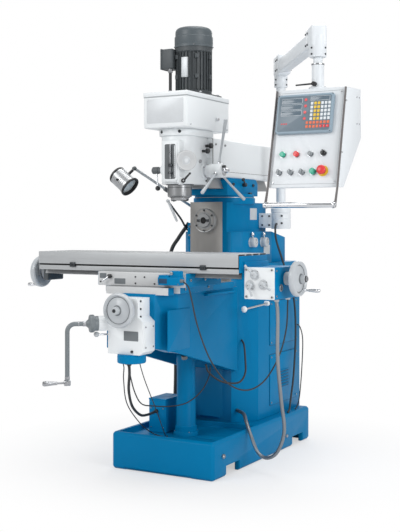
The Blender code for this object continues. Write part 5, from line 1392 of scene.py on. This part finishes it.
def makeSaddle():
    saddle = Shape()
    saddle.cast("saddle", 0.0022, 2, saddleSlots)
    front = saddleFront
    for x, z, wide, high in ((-0.214, 0.964, 0.038, 0.024), (-0.118, 0.94, 0.062, 0.026)):
        saddle.plate(roundedBox(wide, high, 0.003), 0.001, onFront(x, front + 0.0002, z), 0.0003, slot=1)
    for x, z in ((-0.228, 0.935), (-0.03, 0.962), (0.02, 0.962), (-0.03, 0.932), (0.075, 0.932)):
        saddle.screw((x, front + 0.0004, z), (0, -1, 0), 0.0038, slot=7, hole=3)
    for y in (-0.32, -0.185, -0.06):
        saddle.screw((0.2448, y, 0.951), (1, 0, 0), 0.0065, slot=2, hole=3)
        saddle.screw((-0.2448, y, 0.951), (-1, 0, 0), 0.0065, slot=2, hole=3)
    for y in (-0.3, -0.08):
        saddle.screw((0.2055, y, 0.908), (1, 0, 0), 0.0055, slot=2, hole=3)
        saddle.screw((-0.2055, y, 0.908), (-1, 0, 0), 0.0055, slot=2, hole=3)
    hub = Vector((-0.172, front + 0.0003, 0.962))
    saddle.turned([(0, 0.017), (0.0085, 0.017), (0.01, 0.015), (0.01, 0)], hub, (0, -1, 0), steps=32, slot=4)
    end = hub + Vector((-0.03, -0.02, -0.02))
    saddle.rod(hub + Vector((0, -0.012, 0)), end, 0.0042, 0.0036, 20, slot=5)
    saddle.ball(end, 0.0052, slot=5)
    saddle.piece("saddleCasting", "saddle",
                 ["saddle", "greyPart", "steel", "hole", "knob", "chrome", "blue", "darkSteel"], "saddle")
    print("saddle done")


def makeLimitSwitch():
    switch = Shape()
    face = saddleFront - 0.0003
    switch.box((0.118, face - 0.045, 0.93), (0.235, face, 0.968), 0.005, segments=3)
    switch.box((0.1215, face - 0.042, 0.9665), (0.176, face - 0.003, 0.976), 0.003, slot=0)
    switch.box((0.178, face - 0.038, 0.955), (0.232, face - 0.004, 0.996), 0.004, segments=3)
    switch.plate(roundedBox(0.044, 0.022, 0.002), 0.0008, onFront(0.147, face - 0.0448, 0.949), 0.0002,
                 slot=1)
    switch.turned([(0.0036, 0.016), (0.006, 0.015), (0.0075, 0.011), (0.0075, 0.002), (0.009, 0.0016),
                   (0.009, 0)], (0.2349, -0.388, 0.952), (1, 0, 0), steps=24, slot=2)
    switch.rod((0.19, face - 0.038, 0.985), (0.19, face - 0.043, 0.985), 0.008, bevel=0.0006, slot=3)
    for x in (0.124, 0.228):
        switch.screw((x, face - 0.0448, 0.937), (0, -1, 0), 0.0026, slot=3, hole=4)
    switch.piece("limitSwitch", "saddle", ["blueSmooth", "blueShade", "greyPart", "steel", "hole"],
                 "limit_switch")
    print("limit switch done")


tableFacts = {"left": -0.625, "right": 0.495, "front": -0.325, "dogs": (-0.43, 0.3),
              "feedBox": ((0.5103, -0.298, 0.874), (0.6603, -0.062, 1.018))}
feedLevers = (
    # hub across and up, what its handle reaches from there, and where its arrow turns
    (0.563, 0.983, -0.033, 0.04, 0),
    (0.54, 0.936, 0.02, -0.042, 180),
    (0.605, 0.94, 0.044, -0.018, -90),
)


def tableSlots(centre, normal):
    # painted shade: the underside and the slot floors take the dark steel finish
    return 1 if normal.z < -0.5 or 1.0455 < centre.z < 1.0595 else 0


def makeTable():
    table = Shape()
    table.cast("table", 0.0012, 2, tableSlots)
    left, right, front = tableFacts["left"], tableFacts["right"], tableFacts["front"]
    groove = front + 0.0118
    # the front groove's floor: a black strip, painted shade
    table.box((left + 0.0005, groove - 0.0006, 1.0064), (right - 0.0005, groove + 0.0004, 1.0136), slot=2)
    # travel dogs in the front groove
    for x in tableFacts["dogs"]:
        table.box((x, front - 0.0065, 1.0), (x + 0.03, front + 0.008, 1.022), 0.0015, slot=1)
        table.screw((x + 0.015, front - 0.006, 1.011), (0, -1, 0), 0.004, slot=1, hole=2)
    table.piece("tableCasting", "table", ["tableTop", "darkSteel", "hole"], "table")
    print("table done")


def makeTableEnd():
    left = tableFacts["left"] - 0.0003
    bracket = Shape()
    bracket.box((left - 0.03, -0.25, 0.925), (left, -0.12, 1.03), 0.006, segments=3)
    bracket.turned([(0.0108, 0.0012), (0.03, 0.0012), (0.032, 0), (0.032, -0.004)],
                   (left - 0.0296, -0.185, 0.965), (-1, 0, 0), steps=48, slot=1)
    for y in (-0.238, -0.132):
        for z in (0.937, 1.018):
            bracket.screw((left - 0.0296, y, z), (-1, 0, 0), 0.0055, slot=1, hole=2)
    bracket.piece("leftBracket", "table", ["motor", "steel", "hole"], "left_bracket")

    screw = Shape()
    screw.rod((-0.7353, -0.185, 0.965), (0.7683, -0.185, 0.965), 0.01045, steps=40, bevel=0.001)
    screw.piece("tableScrew", "table_screw", ["steel"], "table_leadscrew")
    print("left bracket and table screw done")


def makeFeedBox():
    box = Shape()
    (x0, y0, z0), (x1, y1, z1) = tableFacts["feedBox"]
    box.box((0.4953, -0.322, 0.99), (0.504, -0.048, 1.066), 0.0025, segments=2)
    box.box((0.4953, -0.296, 0.886), (0.514, -0.05, 1.04), 0.003, segments=2)
    box.box((x0, y0 + 0.0035, z0), (x1, y1, z1), 0.005, segments=3)
    box.plate(roundedBox(x1 - x0 - 0.002, z1 - z0 - 0.002, 0.004), 0.004,
              onFront((x0 + x1) / 2, y0 + 0.004, (z0 + z1) / 2), 0.001, slot=1)
    for x in (x0 + 0.012, x1 - 0.012):
        for z in (z0 + 0.012, z1 - 0.012):
            box.screw((x, y0 + 0.0002, z), (0, -1, 0), 0.0052, slot=2, hole=3)
    for hx, hz, _, _, turn in feedLevers:
        box.turned([(0.016, 0.0014), (0.0235, 0.0014), (0.0245, 0)], (hx, y0 + 0.0003, hz), (0, -1, 0),
                   steps=44, slot=4)
        for side in (-1, 1):
            angle = math.radians(turn + 90 + side * 42)
            at = Vector((hx + 0.0205 * math.cos(angle), 0, hz + 0.0205 * math.sin(angle)))
            arrow = Matrix.Rotation(angle + side * math.pi / 2, 4, "Z")
            box.plate([(-0.0026, -0.0022), (0.0034, 0.0), (-0.0026, 0.0022)], 0.0003,
                      onFront(at.x, y0 - 0.001, at.z) @ arrow, 0, slot=3)
    box.turned([(0, 0.0045), (0.01, 0.0045), (0.0105, 0.005), (0.015, 0.005), (0.0165, 0.003), (0.0165, 0)],
               (x1 - 0.0002, -0.235, 0.925), (1, 0, 0), steps=40, slot=2)
    box.turned([(0, 0.0048), (0.01, 0.0048)], (x1 - 0.0002, -0.235, 0.925), (1, 0, 0), steps=32, slot=5)
    box.turned([(0.011, 0.0045), (0.035, 0.0045), (0.037, 0.003), (0.037, 0)], (x1 - 0.0004, -0.185, 0.965),
               (1, 0, 0), steps=48)
    for y in (-0.28, -0.08):
        for z in (0.89, 1.002):
            box.screw((x1 - 0.0004, y, z), (1, 0, 0), 0.0048, slot=2, hole=3)
    for cable in (cables["conduit"]["start"], cables["loopCable"]["end"]):
        x, y, _ = cable
        box.turned([(0.0036, 0.0), (0.0125, 0.0), (0.0125, -0.008), (0.011, -0.01)], (x, y, z0 + 0.0002),
                   (0, 0, 1), steps=6, slot=2)
    box.piece("feedBox", "table", ["blueSmooth", "white", "steel", "hole", "plate", "window"], "feed_box")

    for number, (x, z, reach, rise, _) in enumerate(feedLevers, 1):
        hub = Vector((x, y0 - 0.0003, z))
        dial = Shape()
        dial.turned([(0, 0.022), (0.009, 0.022), (0.0125, 0.0205), (0.015, 0.0175), (0.0155, 0.015),
                     (0.0155, 0.004), (0.0145, 0.003), (0.0145, 0)], hub, (0, -1, 0), steps=44)
        tip = hub + Vector((reach, -0.026, rise))
        dial.rod(hub + Vector((0, -0.015, 0)), tip, 0.0042, 0.0052, 20)
        dial.ball(tip, 0.0058)
        dial.screw(hub + Vector((0, -0.0216, 0)), (0, -1, 0), 0.0042, slot=0, hole=1)
        node = f"feed_lever_{number}"
        dial.piece(f"feedLever{number}", node, ["wheel", "black"], node)
    print("feed box done")


# pendant

panel = {"left": 0.61, "right": 0.936, "top": (0.0, -0.15, 1.813), "foot": (0.0, -0.25, 1.37),
         "drop": (0.774, -0.082, 0), "beam": 2.05}
controls = {
    # name: node, place across and down the panel, radius of the collar round it
    "startButton": ("start_button", 0.663, 0.303, 0.016),
    "stopButton": ("stop_button", 0.729, 0.303, 0.016),
    "jogButton": ("jog_button", 0.796, 0.303, 0.0145),
    "modeSelector": ("mode_selector", 0.857, 0.301, 0.016),
    "feedSelector": ("feed_selector", 0.652, 0.385, 0.016),
    "spindleSelector": ("spindle_selector", 0.707, 0.385, 0.016),
    "lightSelector": ("light_selector", 0.762, 0.385, 0.016),
    "coolantButton": ("coolant_button", 0.815, 0.384, 0.0172),
    "emergencyStop": ("emergency_stop", 0.862, 0.382, 0.0245),
}
panelTop = Vector(panel["top"])
panelDown = (Vector(panel["foot"]) - panelTop).normalized()
panelOut = Vector((0, panelDown.z, -panelDown.y))


def onPanel(across, down, out=0.0):
    # a plate's own X runs across, its own Y up the slope, facing out
    place = Vector((across, 0, 0)) + panelTop + panelDown * down + panelOut * out
    turn = Matrix((Vector((1, 0, 0)), -panelDown, panelOut)).transposed().to_4x4()
    return Matrix.Translation(place) @ turn


def makePendantArm():
    foot = Vector((*post["centre"], 0))
    drop = Vector(panel["drop"])
    outX, outY = post["boltOut"]
    high = Vector((0, 0, panel["beam"]))
    along = drop - foot
    swing = Matrix.Rotation(math.atan2(along.y, along.x), 4, "Z")
    turn = Matrix.Translation((foot + drop) / 2 + high) @ swing
    half = along.length / 2
    arm = Shape()
    arm.turned([(0, 1.2503), (0.0248, 1.2503), (0.025, panel["beam"]), (0, panel["beam"])], foot, steps=48)
    arm.turned([(0.025, 1.2955), (0.033, 1.2955), (0.034, 1.2975), (0.034, 1.322), (0.0325, 1.325),
                (0.025, 1.325)], foot, steps=48, closed=True)
    arm.box((-half + 0.01, -0.03, -0.036), (half - 0.01, 0.03, 0.036), 0.01, place=turn, segments=4)
    # cast corner pieces with a sleeve over the beam and one over the post
    for end, low, size in ((-1, 1.945, 0.036), (1, 1.962, 0.039)):
        middle = foot if end < 0 else drop
        sleeve = Matrix.Translation(middle + high) @ swing
        inward = -end
        a, b = sorted((inward * -0.034, inward * 0.105))
        arm.box((a, -0.0365, -0.046), (b, 0.0365, 0.058 if end > 0 else 0.064), 0.014, place=sleeve,
                segments=4)
        arm.turned([(0, low), (size - 0.002, low), (size, low + 0.003), (size, 2.06), (0, 2.06)], middle,
                   steps=48)
        for reach in (0.052, 0.088):
            for side in (-1, 1):
                for rise in (-0.022, 0.03):
                    at = sleeve @ Vector((inward * reach, side * 0.0363, rise))
                    arm.screw(at, sleeve.to_3x3() @ Vector((0, side, 0)), 0.0046, slot=1, hole=2)
        for rise in (low + 0.012, low + 0.04):
            for angle in (-0.9, 0.9):
                face = Vector((outX * math.cos(angle) - outY * math.sin(angle),
                               outY * math.cos(angle) + outX * math.sin(angle), 0))
                arm.screw(middle + Vector((0, 0, rise)) + face * (size - 0.001), face, 0.0044, slot=1, hole=2)
    arm.piece("pendantArm", "pendant_arm", ["panelWhite", "darkSteel", "hole"], "pendant_arm")
    print("pendant arm done")


def makePanelBox():
    box = Shape()
    box.cast("panel_box", 0.003, 3)
    left, right = panel["left"], panel["right"]
    centre = (left + right) / 2
    wide = right - left
    # folded front: a groove round the inset face, with a screw in each corner
    for across, up, w, h in ((0, 0.212, wide - 0.02, 0.0016), (0, -0.212, wide - 0.02, 0.0016),
                             (wide / 2 - 0.01, 0, 0.0016, 0.424), (-wide / 2 + 0.01, 0, 0.0016, 0.424)):
        box.box((across - w / 2, up - h / 2, -0.001), (across + w / 2, up + h / 2, 0.0003), slot=2,
                place=onPanel(centre, 0.227))
    for across in (left + 0.018, right - 0.018):
        for down in (0.022, 0.432):
            box.screw(onPanel(across, down).translation, panelOut, 0.0036, slot=1, hole=2)
    for name, (_, across, down, radius) in controls.items():
        yellow = name == "emergencyStop"
        inside, collar = (0.013, 0.0012) if yellow else (radius - 0.003, 0.0024)
        box.turned([(inside, collar), (radius - 0.0008, collar), (radius, collar * 0.5), (radius, 0.0001)],
                   onPanel(across, down).translation, panelOut, steps=48, slot=4 if yellow else 1)
    # neck above the panel
    drop = Vector(panel["drop"])
    box.turned([(0.0285, 1.812), (0.04, 1.814), (0.042, 1.8165), (0.042, 1.823), (0.04, 1.826),
                (0.0285, 1.828)],
               drop, steps=48)
    for angle in (0.0, 2.09, 4.19):
        box.screw(drop + Vector((0.035 * math.cos(angle), 0.035 * math.sin(angle), 1.8255)), (0, 0, 1),
                  0.0034, slot=1, hole=2)
    box.turned([(0.0215, 1.925), (0.029, 1.9262), (0.0295, 1.928), (0.0295, 1.933), (0.0215, 1.9345)], drop,
               steps=48, slot=1)
    hub = drop + Vector((0, -0.04, 1.838))
    box.turned([(0, 0.016), (0.0085, 0.016), (0.0105, 0.013), (0.0105, -0.004)], hub, (0, -1, 0), steps=28,
               slot=3)
    box.rod(hub + Vector((0, -0.01, 0)), hub + Vector((-0.084, -0.016, -0.003)), 0.0042, 0.0036, 20, slot=3)
    for y in (-0.02, 0.01):
        for z in (1.66, 1.78):
            box.screw((right - 0.0002, y, z), (1, 0, 0), 0.0034, slot=1, hole=2)
    box.turned([(0.007, 0.0), (0.013, 0.0), (0.014, 0.002), (0.014, 0.014), (0.01, 0.02), (0.007, 0.02)],
               (0.72, -0.06, 1.501), (0, 0.74, -0.67), steps=28, slot=3, closed=True)
    box.piece("panelBox", "panel", ["panelWhite", "steel", "seam", "black", "yellow"], "panel_box")
    print("panel box done")


def makeDisplay():
    unit = Shape()
    middle, down = 0.757, 0.121
    width, height, proud = 0.27, 0.182, 0.0217
    place = onPanel(middle, down, 0.0003)
    unit.plate(roundedBox(width, height, 0.012, 6), proud, place, 0.005)
    unit.plate(roundedBox(width - 0.02, height - 0.02, 0.006, 6), 0.001,
               place @ Matrix.Translation((0, 0, proud - 0.0002)), 0.0003, slot=1)
    lift = proud + 0.0008

    def key(x, y, w, h, slot, rise=0.0016, corner=0.0016):
        unit.plate(roundedBox(w, h, corner, 3), rise, place @ Matrix.Translation((x, y, lift)), 0.0004,
                   slot=slot)

    def window(x, y, w, h):
        # a read-out with a pale outline
        key(x, y, w, h, 3, 0.0006, 0.0012)
        key(x, y, w - 0.0022, h - 0.0022, 2, 0.0008, 0.0008)

    for row in range(4):
        if row < 3:
            window(-0.062, 0.059 - row * 0.0285, 0.1, 0.0225)
        unit.turned([(0, 0.002), (0.0058, 0.002), (0.0068, 0.0012), (0.0068, 0)],
                    (place @ Matrix.Translation((0.004, 0.062 - row * 0.029, lift))).translation, panelOut,
                    steps=24, slot=6)
    window(0.072, 0.067, 0.092, 0.02)
    for row in range(7):
        for column in range(7 if row > 4 else 6):
            x = 0.118 - column * 0.0166
            y = 0.044 - row * 0.0178
            slot = 6 if row == 6 and column < 3 else 5 if row > 4 else 4 if column in (3, 4) else 3
            key(x, y, 0.0118, 0.0128, slot)
    for column in range(3):
        key(-0.104 + column * 0.011, -0.046, 0.0075, 0.005, 6, 0.0008, 0.0008)
    for x in (-width / 2 + 0.0055, width / 2 - 0.0055):
        for y in (-height / 2 + 0.0055, height / 2 - 0.0055):
            unit.screw((place @ Matrix.Translation((x, y, proud - 0.0006))).translation, panelOut, 0.0022,
                       slot=7, hole=2)
    unit.piece("displayUnit", "panel", ["slate", "screen", "window", "whiteKey", "yellow", "orange", "red",
                                       "darkSteel"], "display_unit")
    print("display done")


def makePanelHandle():
    handle = Shape()
    handle.cast("panel_handle", 0.0008, 1)
    for side in (-1, 1):
        x = 0.6057 if side < 0 else 0.9403
        for y, z in ((-0.163, 1.75), (-0.218, 1.52), (-0.292, 1.292)):
            handle.screw((x, y, z), (side, 0, 0), 0.0044, slot=1, hole=2)
    handle.turned([(0, -0.002), (0.012, -0.002), (0.0126, 0), (0.0126, 0.335), (0.012, 0.337), (0, 0.337)],
                  (0.6055, -0.29, 1.292), (1, 0, 0), steps=40, slot=1)
    for x in (0.609, 0.929):
        handle.turned([(0.0125, 0), (0.0158, 0.001), (0.0158, 0.007), (0.0125, 0.008)], (x, -0.29, 1.292),
                      (1, 0, 0), steps=36, slot=1)
    handle.piece("panelHandle", "panel", ["sideBar", "chrome", "hole"], "panel_handle")
    print("panel handle done")


def makeControls():
    for name, radius, height, colour in (("startButton", 0.0125, 0.015, "green"),
                                         ("stopButton", 0.0125, 0.015, "red"),
                                         ("jogButton", 0.011, 0.013, "greyCap"),
                                         ("coolantButton", 0.014, 0.017, "green")):
        node, across, down, _ = controls[name]
        place = onPanel(across, down).translation
        cap = Shape()
        cap.turned([(0, height - 0.0006), (radius * 0.7, height), (radius * 0.88, height - 0.0004),
                    (radius * 0.97, height - 0.0018), (radius, height - 0.0042), (radius, -0.0026),
                    (0, -0.0026)],
                   place, panelOut, steps=44)
        cap.turned([(radius * 0.6, height + 0.0001), (radius * 0.64, height + 0.0003),
                    (radius * 0.68, height + 0.0001)],
                   place, panelOut, steps=44)
        cap.piece(name, node, [colour], node)
    for name, colour in (("modeSelector", "knob"), ("feedSelector", "greyCap"),
                         ("spindleSelector", "greyCap"), ("lightSelector", "greyCap")):
        node, across, down, _ = controls[name]
        place = onPanel(across, down)
        knob = Shape()
        knob.turned([(0, 0.012), (0.0105, 0.012), (0.0118, 0.011), (0.0125, 0.009), (0.0125, 0.0004),
                     (0, 0.0004)],
                    place.translation, panelOut, steps=44)
        knob.box((-0.0037, -0.0117, 0.0095), (0.0037, 0.0117, 0.0208), 0.0016, place=place, segments=3)
        knob.box((-0.0007, 0.003, 0.0206), (0.0007, 0.0108, 0.0211), slot=1, place=place)
        knob.piece(name, node, [colour, "whiteKey"], node)
    print("buttons and selectors done")


def makeEmergencyStop():
    node, across, down, _ = controls["emergencyStop"]
    place = onPanel(across, down)
    stop = Shape()
    radius, height = 0.021, 0.034
    stop.turned([(0, height), (radius * 0.45, height - 0.0004), (radius * 0.75, height - 0.0022),
                 (radius * 0.93, height - 0.0055), (radius, height - 0.0105),
                 (radius * 0.985, height - 0.0135),
                 (radius * 0.88, height - 0.016), (0.0125, height - 0.0172), (0.012, height - 0.019),
                 (0.012, -0.0026), (0, -0.0026)], place.translation, panelOut, steps=56)
    for n in range(3):
        turn = place @ Matrix.Rotation(math.tau * n / 3 + 0.5, 4, "Z")
        stop.plate([(0.012, -0.003), (0.0165, -0.001), (0.0125, 0.004), (0.0105, 0.0022)], 0.0004,
                   turn @ Matrix.Translation((0, 0, height - 0.003)), 0, slot=1)
    stop.piece("emergencyStop", node, ["red", "whiteKey"], node)
    print("emergency stop done")


# loose wiring and hoses that run along the castings

wiring = {
    # name: radius, the bodies at its start and end, the distance between its points, its route
    "feedWire": (0.0026, "knee", "frame", 0.012,
                 ((-0.037, -0.452, 0.574), (-0.045, -0.43, 0.545), (-0.067, -0.4, 0.483),
                  (-0.114, -0.3, 0.352),
                  (-0.128, -0.16, 0.232), (-0.124, -0.06, 0.17), (-0.092, -0.052, 0.159),
                  (-0.06, -0.063, 0.158))),
    "kneeLoop": (0.003, "knee", "knee", 0.012,
                 ((-0.02, -0.44, 0.574), (-0.016, -0.425, 0.52), (-0.016, -0.385, 0.43),
                  (-0.026, -0.31, 0.362),
                  (-0.03, -0.2, 0.334), (0.006, -0.1, 0.32), (0.055, -0.02, 0.33), (0.095, 0.05, 0.38),
                  (0.111, 0.1, 0.448), (0.113, 0.11, 0.5))),
    "feedWireTwo": (0.0022, "knee", "frame", 0.012,
                    ((0.055, -0.45, 0.574), (0.045, -0.42, 0.54), (0.025, -0.35, 0.465), (0.0, -0.22, 0.32),
                     (-0.03, -0.1, 0.19), (-0.045, -0.05, 0.158), (-0.06, -0.02, 0.156))),
    "kneeHose": (0.0048, "frame", "knee", 0.014,
                 ((0.168, 0.3465, 0.607), (0.196, 0.318, 0.585), (0.214, 0.296, 0.52), (0.22, 0.285, 0.45),
                  (0.21, 0.245, 0.408), (0.184, 0.18, 0.408), (0.16, 0.106, 0.432), (0.14, 0.04, 0.48),
                  (0.14, 0.015, 0.52))),
    "pendantCable": (0.0055, "frame", "frame", 0.016,
                     ((0.25, 0.596, 1.21), (0.252, 0.575, 1.19), (0.256, 0.58, 1.12), (0.258, 0.664, 0.998),
                      (0.262, 0.79, 0.8), (0.264, 0.812, 0.6), (0.262, 0.79, 0.38), (0.268, 0.74, 0.26),
                      (0.276, 0.705, 0.205), (0.272, 0.69, 0.186))),
    "coolantHose": (0.01, "frame", "frame", 0.014,
                    ((-0.1395, 0.33, 1.214), (-0.152, 0.328, 1.196), (-0.2, 0.323, 1.132),
                     (-0.244, 0.322, 1.06),
                     (-0.268, 0.35, 0.92), (-0.268, 0.395, 0.7), (-0.262, 0.4, 0.45), (-0.26, 0.39, 0.27),
                     (-0.258, 0.38, 0.186))),
    "rearCable": (0.003, "frame", "frame", 0.014,
                  ((0.2268, 0.907, 0.645), (0.246, 0.912, 0.63), (0.262, 0.914, 0.557), (0.27, 0.882, 0.394),
                   (0.274, 0.845, 0.26), (0.272, 0.82, 0.205), (0.266, 0.8, 0.186))),
}


def makeWiring():
    for name, (radius, first, second, pitch, points) in wiring.items():
        route = evenly(curved(points), pitch)
        made = tube(name, route, radius, "rubber", 3)
        if first == second:
            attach(made, first)
        else:
            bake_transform(made)
        declare(made, route)
    print("wiring done")


coolant = {"foot": (-0.1345, 0.33, 1.172), "leaving": (-0.014, -0.01, 0.012), "apex": (-0.19, 0.2, 1.329),
           "mouth": (-0.128, 0.196, 1.214), "radius": 0.0055}


def makeCoolantPipe():
    # at the column's left: up to a knuckle, then a straight bright nozzle
    foot = Vector(coolant["foot"])
    apex = Vector(coolant["apex"])
    route = evenly(curved([foot, foot + Vector(coolant["leaving"]), foot.lerp(apex, 0.4),
                           foot.lerp(apex, 0.7), apex]), 0.008)
    made = tube("coolantPipe", route, coolant["radius"], "darkSteel", 4, 0.1)
    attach(made, "frame")
    nozzle = Shape()
    nozzle.turned([(0.0056, 0.0), (0.0066, 0.001), (0.0066, 0.095), (0.0058, 0.118), (0.003, 0.122)],
                  apex, Vector(coolant["mouth"]) - apex, steps=28)
    nozzle.ball(apex, 0.0098)
    tip = nozzle.piece("coolantNozzle", "frame", ["plate"], slot="cable_grey")
    declare(made, route)
    print("coolant pipe done")


def makeInnards():
    # what shows inside when the covers part: rotor, pulleys and belt
    for node, key in (("motor_rotor", "steel"), ("spindle_pulley", "crank"), ("drive_belt", "rubber")):
        shown = frame["nodes"][node]
        shown.data.materials.clear()
        shown.data.materials.append(finish[key])
    print("inside pieces done")


makeFinishes()
makeStudio()
makeCables()
makeWiring()
makeCoolantPipe()
makeMotor()
makeCowl()
makeCover()
makeHead()
makeSpindle()
makeCapstan()
makeHeadLevers()
makeRam()
makeColumn()
makeCabinet()
makeArbor()
makeBase()
makeElevation()
makeSumpBox()
makeColumnLevers()
makeArmBracket()
makeLamp()
makeKnee()
makeGearbox()
makeGearboxFittings()
makeCrossWheel()
makeTableWheels()
makeCrank()
makeSaddle()
makeLimitSwitch()
makeTable()
makeTableEnd()
makeFeedBox()
makePendantArm()
makePanelBox()
makeDisplay()
makePanelHandle()
makeControls()
makeEmergencyStop()
makeInnards()
